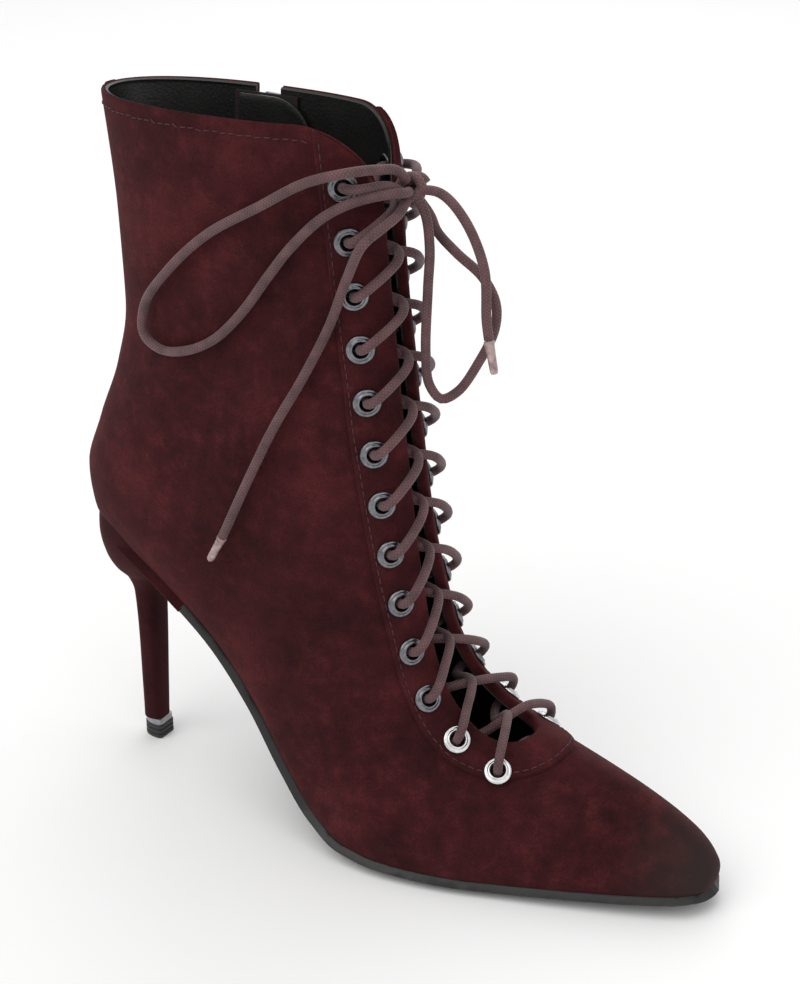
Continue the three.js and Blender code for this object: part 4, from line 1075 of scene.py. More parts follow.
def facing_top(share, plus, side):
    """How far up a leg a lane of the facing reaches before the collar cuts it."""
    tries = np.linspace(0.85, 1.12, 260)
    place = facing_point(side * tries, share, plus, FACING_TOP)
    over = place[:, 2] - collar_height(place[:, 0])
    i = int(np.argmax(over >= 0))
    return tries[i - 1] + (tries[i] - tries[i - 1]) * (-over[i - 1] / (over[i] - over[i - 1]))


def make_facing(sizes):
    first, last = FACING_INNER_EDGE[-1][0], FACING_OUTER_EDGE[0][0]
    middle = [i / FACING_LANES for i in range(1, FACING_LANES)]
    lanes = [(0, distance, offset) for distance, offset in FACING_INNER_EDGE]
    lanes += [(s, first * (1 - s) - last * s, FACING_TOP) for s in middle]
    lanes += [(1, -distance, offset) for distance, offset in FACING_OUTER_EDGE]
    lanes = np.array([*lanes, (0.5, 0, -0.6), lanes[0]])
    turn = FOOT_ROWS // 2
    rows = 2 * (LEG_ROWS + turn)
    tops = np.array([[facing_top(*lane[:2], side) for lane in lanes] for side in (-1, 1)])

    def place(u, v):
        k = np.rint(u * (len(lanes) - 1)).astype(int)
        row = np.rint(v * rows).astype(int) - rows // 2
        step = np.abs(row)
        top = tops[(row >= 0).astype(int), k]
        climb = np.clip((step - turn) / LEG_ROWS, 0, 1)
        way = np.where(step <= turn, FOOT_PART * step / turn, FOOT_PART + (top - FOOT_PART) * climb)
        return facing_point(np.where(row < 0, -way, way), *lanes[k].T)

    facing = patch("facing", len(lanes) - 1, rows, place)
    weld(facing, 0.005)
    close_holes(facing)
    punch_eyelets(facing, 3.2)
    finish_piece(facing, [MATERIALS["suede"]], nodes=["eyestay"], angle=50)


# Eyelet's section: a rolled lip, a shallow valley and a flat flange, and the barrel turned out inside
EYELET_PROFILE = [
    (2.3, -2.4), (2.3, 2.3), (2.36, 2.75), (2.6, 2.98), (2.95, 3.02), (3.22, 2.86), (3.34, 2.6), (3.5, 2.5),
    (3.7, 2.56), (4.0, 2.58), (4.28, 2.42), (4.46, 2.1), (4.5, 1.8), (4.4, 1.5), (3.0, 1.45), (2.9, 1.2),
    (2.9, -1.9), (3.6, -2.02), (3.85, -2.25), (3.6, -2.5), (2.9, -2.6), (2.3, -2.4),
]
BRIGHT_EYELETS = 2  # the lowest ones


def make_eyelets(sizes):
    profile = np.array(EYELET_PROFILE)
    for name, side, i, down in EYELET_PLACES:
        station = station_at(down)
        share = side * eyelet_round(down) / girth_at(station)
        out = outward(station, share)
        across = unit(np.cross(out, (0, 0, 1)))
        up = np.cross(out, across)
        middle = on_last(station, share)

        def place(u, v):
            row = np.rint(v * (len(profile) - 1)).astype(int)
            angle = 2 * math.pi * u[:, None]
            spoke = across * np.cos(angle) - up * np.sin(angle)
            return middle + spoke * profile[row, :1] + out * profile[row, 1:]

        ring = patch(f"eyelet_ring_{name}_{i + 1:02d}", 28, len(profile) - 1, place)
        weld(ring, 0.001)
        edit_mesh(ring, lambda mesh: bmesh.ops.recalc_face_normals(mesh, faces=mesh.faces))
        bright = i >= EYELET_COUNT - BRIGHT_EYELETS
        finish_piece(ring, [MATERIALS["nickel" if bright else "gunmetal"]], nodes=[f"eyelet_{name}_{i + 1:02d}"], angle=60)


# A strand's way from an eyelet: distance along it and height off the last, leaving outside and
# arriving inside, and its heights over a facing's edge, at the two passes in the slot and under an edge
STRAND_OUT = [(0, 0.3), (0.25, 3.8), (2.7, 6.0)]
STRAND_IN = [(2.7, -5.3), (0.25, -3.3)]
OVER_EDGE = 4.3
UNDER_EDGE = -6.6
STRAND_LEVEL = {-1: 1.0, 1: -1.2}


def strand_points(lower, upper, side):
    """Points from an eyelet, over its facing, through the slot and up into the opposite eyelet."""
    start, stop = eyelet_round(lower), eyelet_round(upper)
    length = math.hypot(upper - lower, start + stop)
    edge = (start - throat_half(lower)) / (start + stop)
    route = [*STRAND_OUT, (length * edge, OVER_EDGE), (length / 2, STRAND_LEVEL[side]), (length * (1 - edge), UNDER_EDGE)]
    route += [(length - distance, height) for distance, height in STRAND_IN]
    share = np.array([distance / length for distance, _ in route])
    height = np.array([height for _, height in route])
    down = lower + (upper - lower) * share
    return skin_at(down, side * (start - (start + stop) * share), height)


KNOT = np.array([107.0, -3.0, 216.0])
KNOT_HOLD = 3.0  # the bow's cords begin this far from the knot's middle


def make_lacing(sizes):
    """Both halves of the laced cord, from the bar at the bottom to the knot."""
    lowest = EYELETS[-1]
    reach = eyelet_round(lowest)
    bar = [(reach - 0.25, -3.3), (reach - 2.7, -5.4), (0, -6.2), (2.7 - reach, -5.4), (0.25 - reach, -3.3)]
    bar = skin_at(np.full(len(bar), lowest), np.array([place for place, _ in bar]), np.array([h for _, h in bar]))
    halves = []
    for side in (-1, 1):
        line, at = [], side
        for lower, upper in zip(EYELETS[::-1], EYELETS[-2::-1]):
            line.append(strand_points(lower, upper, at))
            at = -at
        top = EYELETS[0]
        start = eyelet_round(top)
        share = np.array([0, 0.25 / start, 2.7 / start, 0.62])
        lead = skin_at(top + 3 * share, at * start * (1 - share), np.array([0.3, 3.8, 6.0, 6.2]))
        line.append(lead)
        line.append([KNOT + (-0.6, at * 2.4, -1.5)])
        halves.append(np.vstack(line))
    # The first half runs down from the knot, then the bar, then the second half up to the knot
    whole = np.vstack([halves[1][::-1], bar, halves[0]])
    lacing = tube("lace_through_eyelets", catmull(whole, 1.3), sizes.cord_diameter / MM / 2, 12)
    crossings = [f"lace_crossing_{i:02d}" for i in range(1, EYELET_COUNT)]
    finish_piece(lacing, [MATERIALS["cord"]], nodes=[*crossings, "lace_bottom_bar"], angle=80)


def make_knot(sizes):
    """Two turns of cord round the middle of the bow and one strand across them."""
    radius = sizes.cord_diameter / MM / 2
    turns = []
    axis, ahead, up = (np.array(v, float) for v in ((-0.1, -0.97, 0.2), (1, -0.1, 0.05), (0.05, 0.2, 0.98)))
    for low, high, size, tilt in ((-0.9, 0.75, 3.5, 0.0), (-0.35, 0.4, 3.0, 0.9)):
        angle = np.linspace(low, high, 40)[:, None] * 2 * math.pi
        lean = axis * math.cos(tilt) + up * math.sin(tilt)
        rise = up * math.cos(tilt) - axis * math.sin(tilt)
        line = KNOT + size * (ahead * np.cos(angle) + rise * 1.1 * np.sin(angle)) + lean * angle / (2 * math.pi) * 3.2
        turns.append(tube("knot_turn", line, radius * 0.96, 12))
    knot = join(turns, "bow_knot")
    finish_piece(knot, [MATERIALS["cord"]], nodes=["lace_knot"], angle=80)


BOW_CORDS = {
    "lateral_loop": (LATERAL_LOOP, "lace_loop_lateral"),
    "medial_loop": (MEDIAL_LOOP, "lace_loop_medial"),
    "lateral_end": (LATERAL_END, "lace_end_lateral"),
    "medial_end": (MEDIAL_END, "lace_end_medial"),
}
AGLETS = {"lateral": ((54.6, -32, 103), (49.9, -32.4, 94.4)), "medial": ((134.6, -5.4, 174.3), (136.9, -6, 164.8))}


def make_bow(sizes):
    """The bow's two loops and two ends, each a free cord, with an aglet on each end."""
    diameter = sizes.cord_diameter
    for name, (start, stop) in AGLETS.items():
        start, stop = np.array(start), np.array(stop)
        share = np.array([-0.04, -0.02, 0.02, 0.1, 0.5, 0.8, 0.93, 0.985, 1.0])
        girth = np.array([1.5, 1.68, 1.66, 1.5, 1.34, 1.3, 1.24, 1.0, 0.55])
        sleeve = tube(f"aglet_sleeve_{name}", start + (stop - start) * share[:, None], girth, 16)
        finish_piece(sleeve, [MATERIALS["aglet"]], nodes=[f"aglet_{name}"], angle=50)
    for name, (points, node) in BOW_CORDS.items():
        line = catmull(points, 1.4)
        free = np.linalg.norm(line - KNOT, axis=1) > KNOT_HOLD
        first = int(np.argmax(free))
        last = len(line) - int(np.argmax(free[::-1]))
        line = line[first:last]
        cord = tube(f"bow_{name}", line, diameter / MM / 2, 12)
        finish_piece(cord, [MATERIALS["cord"]], nodes=[node], angle=80)


def template_points(piece):
    """Vertices in millimetres and faces of a small piece, which is then removed."""
    points = get_points(piece)
    faces = [tuple(face.vertices) for face in piece.data.polygons]
    mesh = piece.data
    bpy.data.objects.remove(piece)
    bpy.data.meshes.remove(mesh)
    return points, faces


def scatter(name, template, places, along, out):
    """One mesh of copies of a small form, each turned along its row and standing on the surface."""
    points, faces = template
    across = np.cross(out, along)
    turned = (
        points[None, :, :1] * along[:, None] + points[None, :, 1:2] * across[:, None] + points[None, :, 2:] * out[:, None]
    )
    moved = (places[:, None] + turned).reshape(-1, 3)
    count = len(points)
    all_faces = [tuple(i * count + v for v in face) for i in range(len(places)) for face in faces]
    mesh = bpy.data.meshes.new(name)
    mesh.from_pydata((moved * MM).tolist(), [], all_faces)
    piece = bpy.data.objects.new(name, mesh)
    bpy.context.scene.collection.objects.link(piece)
    return piece


def stitch_form(length=2.1, radius=0.24, sink=0.2):
    """One stitch: a short thread whose ends dip into the suede."""
    share = np.linspace(-1, 1, 7)[:, None]
    line = np.hstack([share * length / 2, share * 0, radius * 0.55 - (radius * 0.55 + sink) * share**4])
    return template_points(tube("stitch", line, radius * (1 - 0.35 * share[:, 0] ** 4), 6))


def stitch_row(line_of, pitch, form, name):
    """Stitches at an even pitch along a line of stations and shares on the last."""
    station, share, offset = line_of
    line = on_last(station, share, offset)
    walks = np.concatenate([[0], np.cumsum(np.linalg.norm(np.diff(line, axis=0), axis=1))])
    count = int(walks[-1] / pitch)
    goals = (np.arange(count) + 0.5) * walks[-1] / count
    at, ahead, behind = ([np.interp(goals + by, walks, values) for values in line_of] for by in (0, 0.3, -0.3))
    out = outward(*at[:2])
    along = on_last(*ahead) - on_last(*behind)
    along = unit(along - out * (along * out).sum(axis=1)[:, None])
    return scatter(name, form, on_last(*at), along, out)


COLLAR_STITCH_DROP = 4.6
BACK_STRIP_HALF = 3.2
BACK_STRIP_FOOT = 18.45  # station at the heel's seat


def collar_line(shares, drop, grow=0.7):
    """Stations a drop below the collar for shares round the boot."""
    tries = np.linspace(SHELL_TOP, LAST_STATION, 400)[:, None]
    places = on_last(tries, shares[None])
    over = places[..., 2] - collar_height(places[..., 0]) + drop
    return tries[np.argmax(over >= 0, axis=0), 0]


def make_stitching(sizes):
    """Rows of stitches round the facing, the collar, the zip's slot and down the back strip."""
    form = stitch_form()
    pitch = sizes.stitch_pitch / MM
    rows = []
    way = np.concatenate([np.linspace(-0.985, -FOOT_PART, 240), np.linspace(-FOOT_PART, FOOT_PART, 120)[1:-1], np.linspace(FOOT_PART, 0.985, 240)])
    rows.append(facing_stitches(way, pitch, form))
    outer_edge = (eyelet_round(6) + FACING_MARGIN + 1.2) / girth_at(station_at(6))
    zip_share = {end: float(inner_place(np.array([zip_x(228.0) + end * 7.2]), np.array([229.0]))[1][0]) for end in (-1, 1)}
    for name, low, high in (("outer", 0.508 + 0.012, 1 - outer_edge), ("inner_front", outer_edge, zip_share[1]), ("inner_back", zip_share[-1], 0.48)):
        shares = np.linspace(low, high, 160)
        station = collar_line(shares, COLLAR_STITCH_DROP)
        rows.append(stitch_row((station, shares, np.full(160, 0.02)), pitch, form, f"stitches_collar_{name}"))
    for side in (-1, 1):
        station = np.linspace(BACK_STRIP_FOOT + 0.15, float(collar_line(np.array([0.5]), 3)[0]), 160)
        shares = 0.5 + side * 2.1 / girth_at(station)
        rows.append(stitch_row((station, shares, np.full(160, 0.3)), pitch, form, f"stitches_back_{side + 1}"))
    half = ZIP_SLOT_WIDTH / 2 + 2.2
    heights = np.linspace(ZIP_FOOT_Z - 2.2, COLLAR_LEVEL - 7, 200)
    turn = np.linspace(-half, half, 20)
    across = np.concatenate([np.full(200, -half), turn, np.full(200, half)])
    level = np.concatenate([heights[::-1], np.full(20, heights[0]), heights])
    station, share = inner_place(zip_x(level) + across, level)
    rows.append(stitch_row((station, share, np.full(len(level), 0.02)), pitch, form, "stitches_zip"))
    finish_piece(join(rows, "stitching"), [MATERIALS["thread"]], angle=80)


def facing_stitches(way, pitch, form):
    """The row just inside the facing's outer edge."""
    line = facing_point(way, 1, -STITCH_INSET, 1.38)
    walks = np.concatenate([[0], np.cumsum(np.linalg.norm(np.diff(line, axis=0), axis=1))])
    count = int(walks[-1] / pitch)
    goals = (np.arange(count) + 0.5) * walks[-1] / count
    middle = np.interp(goals, walks, way)
    step = 0.0012
    places = facing_point(middle, 1, -STITCH_INSET, 1.38)
    along = unit(facing_point(middle + step, 1, -STITCH_INSET, 1.38) - facing_point(middle - step, 1, -STITCH_INSET, 1.38))
    across = facing_point(middle, 1, -STITCH_INSET - 0.4, 1.38) - facing_point(middle, 1, -STITCH_INSET + 0.4, 1.38)
    out = unit(np.cross(along, across))
    above = facing_point(middle, 1, -STITCH_INSET, 2.38) - places
    out *= np.sign((out * above).sum(axis=1))[:, None]
    return scatter("stitches_facing", form, places, along, out)


def make_back_strip(sizes):
    """Narrow suede strip over the seam down the back."""
    lanes = [(-3.4, -0.3), (-3.2, 0.25), (-2.9, 0.42), (-2.1, 0.34), (-1, 0.42), (0, 0.44), (1, 0.42), (2.1, 0.34), (2.9, 0.42), (3.2, 0.25), (3.4, -0.3)]
    lanes = np.array(lanes)
    top = collar_line(0.5 + lanes[:, 0] / 150, 0.25)
    rows = 120

    def place(u, v):
        k = np.rint(u * (len(lanes) - 1)).astype(int)
        station = BACK_STRIP_FOOT + (top[k] - BACK_STRIP_FOOT) * v
        return on_last(station, 0.5 + lanes[k, 0] / girth_at(station), lanes[k, 1])

    strip = patch("back_strip", len(lanes) - 1, rows, place)
    modify(strip, "SOLIDIFY", thickness=0.5 * MM, offset=-1)
    finish_piece(strip, [MATERIALS["suede"]], angle=60)


TOE_TURN = 1.4  # stations in which the sole's toe narrows to its point
sole_outer = track(SOLE_EDGE, lambda outer, inner: outer)
sole_inner = track(SOLE_EDGE, lambda outer, inner: inner)


def under_foot(name, start, stop, rows, columns, margin, offset, flat=False):
    """Sheet that follows the underside of the last inside the sole's edge less a margin."""

    def place(u, v):
        # Rows crowd towards the toe, where the edge turns
        station = start + (stop - start) * (1 - np.cos(v * math.pi / 2)) if flat else start + (stop - start) * v
        half = half_width(station)
        inner = half * inner_share(station)
        outer_reach = np.maximum(half * sole_outer(station) - margin, 0.3) / half
        inner_reach = np.maximum(inner * sole_inner(station) - margin, 0.3) / inner
        if flat:
            nose = np.sqrt(1 - (1 - np.clip((station - start) / TOE_TURN + 0.03, 0, 1)) ** 2)
            outer_reach, inner_reach = outer_reach * nose, inner_reach * nose
        share = np.sin((2 * u - 1) * math.pi / 2)
        share = np.where(share < 0, share * outer_reach, share * inner_reach)
        share = np.clip(share, -0.995, 0.995)
        middle = cross_surface(station, share, 0.0)
        ahead = cross_surface(station + 0.05, share, 0.0) - cross_surface(station - 0.05, share, 0.0)
        beside = cross_surface(station, share + 0.01 * (share < 0.9), 0.0) - cross_surface(station, share - 0.01, 0.0)
        down = unit(np.cross(ahead, beside))
        down *= np.where(down[:, 2:] > 0, -1, 1)
        return middle + down * offset

    return patch(name, columns, rows, place)


BREAST_STATION = float(np.interp(-BREAST_X, -back_x(np.linspace(12, 17, 400)), np.linspace(12, 17, 400)))


def make_sole(sizes):
    """Thin leather sole from the toe to the heel's breast, and the sock inside."""
    sole = under_foot("leather_sole", 1.05, BREAST_STATION, 150, 26, 0, 0.1, flat=True)
    edit_mesh(sole, lambda mesh: bmesh.ops.recalc_face_normals(mesh, faces=mesh.faces))
    if sole.data.polygons[len(sole.data.polygons) // 2].normal.z > 0:
        edit_mesh(sole, lambda mesh: bmesh.ops.reverse_faces(mesh, faces=mesh.faces))
    modify(sole, "SOLIDIFY", thickness=2.7 * MM, offset=1)
    modify(sole, "BEVEL", width=0.55 * MM, segments=3, limit_method="ANGLE", angle_limit=math.radians(50))
    points = get_points(sole)
    points[:, 2] = np.maximum(points[:, 2], 0)
    set_points(sole, points)
    finish_piece(sole, [MATERIALS["sole"]], nodes=["outsole"], angle=40)
    sock = under_foot("leather_sock", 2, 17.2, 80, 14, 4.5, -WALL - 0.1)
    if sock.data.polygons[len(sock.data.polygons) // 2].normal.z < 0:
        edit_mesh(sock, lambda mesh: bmesh.ops.reverse_faces(mesh, faces=mesh.faces))
    modify(sock, "SOLIDIFY", thickness=0.8 * MM, offset=1)
    finish_piece(sock, [MATERIALS["lining"]], nodes=["insole"], angle=40)


heel_back = track(HEEL_SECTIONS, lambda back, front, width, lean: back * HEEL_DEPTH)
heel_front = track(HEEL_SECTIONS, lambda back, front, width, lean: front * HEEL_DEPTH)
heel_half = track(HEEL_SECTIONS, lambda back, front, width, lean: width * HEEL_WIDTH)
heel_lean = track(HEEL_SECTIONS, lambda back, front, width, lean: lean * HEEL_WIDTH)


def last_body(name, offset, start, stop, columns=96, rows=60):
    """Closed form of the last between two stations, for cutting other pieces to it."""
    body = patch(name, columns, rows, lambda u, v: on_last(start + (stop - start) * v, u, offset))
    weld(body, 0.001)
    close_holes(body)
    return body


def combine(piece, other, operation):
    """Joins another solid to a piece or cuts it out, and removes it."""
    modify(piece, "BOOLEAN", operation=operation, object=other, solver="EXACT")
    bpy.data.objects.remove(other)


HEEL_TUCK = 1.7  # how far the cover's rim is drawn in to meet the upper


def make_heel(sizes):
    """Covered stiletto heel: a slender stem that flares under the seat, with a lip to the sole."""
    foot = TIP_HEIGHT + BAND_HEIGHT
    rows = 70

    def place(u, v):
        height = v * HEEL_SECTIONS[-1][0]
        angle = 2 * math.pi * u
        cosine, sine = np.cos(angle), np.sin(angle)
        power = 2 / np.where(cosine > 0, 2.8, 2.1)
        tuck = HEEL_TUCK * np.clip((height - 0.88) / 0.14, 0, 1) ** 2
        middle = (heel_back(height) + tuck + heel_front(height)) / 2
        half = (heel_front(height) - heel_back(height) - tuck) / 2
        x = middle + half * np.sign(cosine) * np.abs(cosine) ** power
        y = (heel_half(height) - tuck) * np.sign(sine) * np.abs(sine) ** power + heel_lean(height)
        return np.stack([x, y, foot + height * (HEEL_HEIGHT - foot)], axis=1)

    stem = patch("heel_cover", 64, rows, place)
    weld(stem, 0.001)
    close_holes(stem)
    lip = under_foot("heel_lip", BREAST_STATION - 0.02, 17.6, 40, 26, 0, -1.0)
    if lip.data.polygons[len(lip.data.polygons) // 2].normal.z > 0:
        edit_mesh(lip, lambda mesh: bmesh.ops.reverse_faces(mesh, faces=mesh.faces))
    modify(lip, "SOLIDIFY", thickness=4.2 * MM, offset=1)
    edit_mesh(lip, lambda mesh: bmesh.ops.recalc_face_normals(mesh, faces=mesh.faces))
    combine(stem, lip, "UNION")
    combine(stem, last_body("seat_form", -0.4, 11, 22), "DIFFERENCE")
    finish_piece(stem, [MATERIALS["heel_suede"]], nodes=["heel"], angle=35)


def tip_outline(grow):
    """D-shaped outline of the heel's tip, flat side forward."""
    half, front = 4.3 + grow, 4.4 + grow
    angle = np.linspace(math.pi / 2, 3 * math.pi / 2, 33)
    back = [(front * 0.45 + front * 1.45 * math.cos(a), half * math.sin(a)) for a in angle]
    lower = [(front - 1.3 + 1.3 * math.cos(a), -half + 1.3 + 1.3 * math.sin(a)) for a in np.linspace(-math.pi / 2, 0, 8)]
    upper = [(front - 1.3 + 1.3 * math.cos(a), half - 1.3 + 1.3 * math.sin(a)) for a in np.linspace(0, math.pi / 2, 8)]
    return [*back, *lower, *upper]


def prism(name, outline, low, high, bevel):
    """Upright plate over an outline in plan, its edges rounded."""
    mesh = bpy.data.meshes.new(name)
    mesh.from_pydata([(x * MM, y * MM, low * MM) for x, y in outline], [], [tuple(range(len(outline)))])
    piece = bpy.data.objects.new(name, mesh)
    bpy.context.scene.collection.objects.link(piece)
    modify(piece, "SOLIDIFY", thickness=(high - low) * MM, offset=1)
    edit_mesh(piece, lambda mesh: bmesh.ops.recalc_face_normals(mesh, faces=mesh.faces))
    shift = low - get_points(piece)[:, 2].min()
    set_points(piece, get_points(piece) + (0, 0, shift))
    if bevel:
        modify(piece, "BEVEL", width=bevel * MM, segments=2, limit_method="ANGLE", angle_limit=math.radians(40))
    return piece


def make_heel_tip(sizes):
    """Top piece with its two fine grooves, and the metal band above it."""
    rib = (TIP_HEIGHT - 1.0) / 3
    core = prism("heel_top_piece", tip_outline(-0.3), 0.1, TIP_HEIGHT, 0)
    ribs = [prism(f"rib_{i}", tip_outline(0), i * (rib + 0.5), i * (rib + 0.5) + rib, 0.15) for i in range(3)]
    top_piece = join([core, *ribs], "heel_top_piece")
    finish_piece(top_piece, [MATERIALS["top_piece"]], nodes=["top_piece"])
    band = prism("heel_band_ring", tip_outline(-0.25), TIP_HEIGHT, TIP_HEIGHT + BAND_HEIGHT, 0.2)
    finish_piece(band, [MATERIALS["band"]], nodes=["heel_band"])


TAPE_HALF = 12
TAPE_FOOT = ZIP_FOOT_Z - 2.5


def make_zip(sizes):
    """Woven tape behind the slot, with two rows of moulded teeth closed along its middle."""
    top = COLLAR_LEVEL - 2.5

    def tape_place(u, v):
        return on_zip((0.5 - u) * 2 * TAPE_HALF, TAPE_FOOT + (top - TAPE_FOOT) * v, -WALL - 0.35)

    tape = patch("zip_tape", 16, 80, tape_place, (2 * TAPE_HALF, top - TAPE_FOOT))
    modify(tape, "SOLIDIFY", thickness=0.7 * MM, offset=-1)
    finish_piece(tape, [MATERIALS["tape"]], nodes=["zip"])
    bpy.ops.mesh.primitive_cube_add(size=1)
    tooth = bpy.context.object
    set_points(tooth, get_points(tooth) * MM * np.array([1.15, 3.1, 1.9]))
    modify(tooth, "BEVEL", width=0.3 * MM, segments=1)
    template = template_points(tooth)
    heights = np.arange(ZIP_FOOT_Z + 1.5, COLLAR_LEVEL - 14, 1.05)
    beside = np.where(np.arange(len(heights)) % 2, 1.0, -1.0)
    places = on_zip(beside, heights, -1.15)
    out = outward(*inner_place(zip_x(heights) + beside, heights))
    up = on_zip(beside, heights + 0.5, -1.15) - on_zip(beside, heights - 0.5, -1.15)
    up = unit(up - out * (up * out).sum(axis=1)[:, None])
    teeth = scatter("zip_teeth", template, places, up, out)
    finish_piece(teeth, [MATERIALS["gunmetal"]], angle=30)


def make_zip_guard(sizes):
    """Soft leather flap inside the shaft behind the zip, its front top corner round."""
    top, corner, width = COLLAR_LEVEL - 3, 16, 29
    back = ZIP_FOOT_X - TAPE_HALF + 2.5

    def place(u, v):
        across = back + width * (1 - u) - ZIP_FOOT_X
        into = np.clip(across + ZIP_FOOT_X - (back + width - corner), 0, corner)
        end = top - corner + np.sqrt(corner**2 - into**2)
        wave = 0.5 * np.sin(v * 9) * np.sin(u * 5)
        return on_zip(across, TAPE_FOOT + (end - TAPE_FOOT) * v, -WALL - 1.5 + wave * 0.3)

    flap = patch("zip_guard_flap", 40, 60, place)
    modify(flap, "SOLIDIFY", thickness=1.1 * MM, offset=-1)
    modify(flap, "BEVEL", width=0.3 * MM, segments=2, limit_method="ANGLE", angle_limit=math.radians(50))
    finish_piece(flap, [MATERIALS["lining"]], nodes=["zip_guard"])


SLIDER_DROP = 9
SLIDER_LENGTH = 12
PULL_AXIS = 3.9


def slider_frame():
    """Matrix of the slider's place on the last: across, up and out, in millimetres."""
    level = COLLAR_LEVEL - SLIDER_DROP
    place, foot = (from_grid(LAST_POINTS, *inner_place(np.array([zip_x(z)]), np.array([z])))[0] for z in (level, level - SLIDER_LENGTH))
    out = outward(*inner_place(np.array([zip_x(level)]), np.array([level])))[0]
    up = place - foot
    up = unit(up - out * (up @ out))
    across = np.cross(up, out)
    return np.stack([across, up, out]), place


def set_in(piece, frame_of):
    """Moves a piece made at the origin into a frame of directions and a place."""
    ways, place = frame_of
    set_points(piece, get_points(piece) @ ways + place)


def rounded_box(name, size, middle, bevel):
    bpy.ops.mesh.primitive_cube_add(size=1)
    piece = bpy.context.object
    piece.name = piece.data.name = name
    set_points(piece, get_points(piece) * MM * np.array(size) + middle)
    modify(piece, "BEVEL", width=bevel * MM, segments=3)
    return piece


def rod(name, radius, width, height):
    """Rod along X at a height."""
    bpy.ops.mesh.primitive_cylinder_add(vertices=28, radius=radius, depth=width)
    piece = bpy.context.object
    points = get_points(piece) * MM
    piece.name = piece.data.name = name
    set_points(piece, points[:, [2, 0, 1]] + (0, 0, height))
    modify(piece, "BEVEL", width=0.15 * MM, segments=2, limit_method="ANGLE", angle_limit=math.radians(50))
    return piece


def make_zip_slider(sizes):
    """Slider at the top of the closed zip, with the two ears and the pin that hold its pull."""
    place = slider_frame()
    outline = [(-4, 5), (-2.6, 6), (2.6, 6), (4, 5), (4, 1), (2.7, -6), (-2.7, -6), (-4, 1)]
    body = prism("zip_slider_body", outline, 0.2, 1.6, 0.35)
    ears = [rounded_box("ear", (1.2, 3.6, 5.0), (side * 2.6, 0, 2.9), 0.4) for side in (-1, 1)]
    pin = rod("pin", 0.7, 6.2, PULL_AXIS)
    slider = join([body, *ears, pin], "zip_slider_body")
    set_in(slider, place)
    finish_piece(slider, [MATERIALS["gunmetal"]], nodes=["zip_slider"])


def make_zip_pull(sizes):
    """Pull tab on the slider's pin: an eye, a neck and a flat tab with a rounded foot and a slot."""
    place = slider_frame()
    eye = rod("eye", 1.8, 3.4, 0)
    bore = rod("bore", 1.0, 8, 0)
    combine(eye, bore, "DIFFERENCE")
    set_points(eye, get_points(eye) + (0, 0, PULL_AXIS))
    neck = rounded_box("neck", (2.6, 3.2, 1.2), (0, -2.7, PULL_AXIS), 0.25)
    turn = np.linspace(0, -math.pi, 17)
    outline = [(-2.5, -3.6), (-1.9, -3.2), (1.9, -3.2), (2.5, -3.6)]
    outline += [(2.5 * math.cos(a), -19.5 + 2.5 * math.sin(a)) for a in turn]
    tab = prism("tab", outline, PULL_AXIS - 0.7, PULL_AXIS + 0.7, 0.3)
    around = np.linspace(0, 2 * math.pi, 24, endpoint=False)
    hole = [(1.1 * math.cos(a), -16.6 + (1.8 if math.sin(a) > 0 else -1.8) + 1.1 * math.sin(a)) for a in around]
    cutter = prism("hole", hole, 0, 8, 0)
    combine(tab, cutter, "DIFFERENCE")
    pull = join([eye, neck, tab], "zip_pull_tab")
    set_in(pull, place)
    finish_piece(pull, [MATERIALS["gunmetal"]], body="pull", nodes=["zip_pull"])


CAMERA_PLACE = (0.3756, -0.4810, 0.3593)
CAMERA_AIM = (0.0943, 0.0124, 0.1107)


def make_stage(sizes):
    """Pale floor, soft studio lights and the camera at the photograph's angle."""
    deselect_all()
    bpy.ops.mesh.primitive_plane_add(size=8, location=(0, 0, 0))
    floor = bpy.context.object
    floor.name = "studio_floor"
    floor.data.materials.append(floor_material())
    lights = [
        ("key_light", (-0.5, -1.3, 1.7), 1.6, 13, (1, 0.99, 0.97)),
        ("fill_light", (1.6, -0.9, 1.2), 1.8, 6, (1, 1, 1)),
        ("back_light", (-0.6, 1.5, 1.5), 1.6, 8, (1, 1, 1)),
        ("top_light", (0.1, 0.1, 2.2), 2.2, 8, (1, 1, 1)),
    ]
    for name, place, size, power, colour in lights:
        lamp = bpy.data.lights.new(name, "AREA")
        lamp.shape = "SQUARE"
        lamp.size = size
        lamp.energy = power
        lamp.color = colour
        holder = bpy.data.objects.new(name, lamp)
        holder.location = place
        holder.rotation_mode = "QUATERNION"
        holder.rotation_quaternion = (Vector((0.06, 0, 0.12)) - Vector(place)).to_track_quat("-Z", "Y")
        bpy.context.scene.collection.objects.link(holder)
    world = bpy.data.worlds.new("studio")
    bpy.context.scene.world = world
    world.use_nodes = True
    backdrop = next(n for n in world.node_tree.nodes if n.type == "BACKGROUND")
    backdrop.inputs["Color"].default_value = (1, 1, 1, 1)
    backdrop.inputs["Strength"].default_value = 0.72
    bpy.context.scene.view_settings.view_transform = "Standard"
    camera = bpy.data.cameras.new("camera")
    camera.sensor_width = 36
    camera.lens = sizes.lens
    camera.clip_start, camera.clip_end = 0.01, 20
    holder = bpy.data.objects.new("camera", camera)
    holder.location = CAMERA_PLACE
    holder.rotation_mode = "QUATERNION"
    holder.rotation_quaternion = (Vector(CAMERA_AIM) - Vector(CAMERA_PLACE)).to_track_quat("-Z", "Y")
    bpy.context.scene.collection.objects.link(holder)
    bpy.context.scene.camera = holder


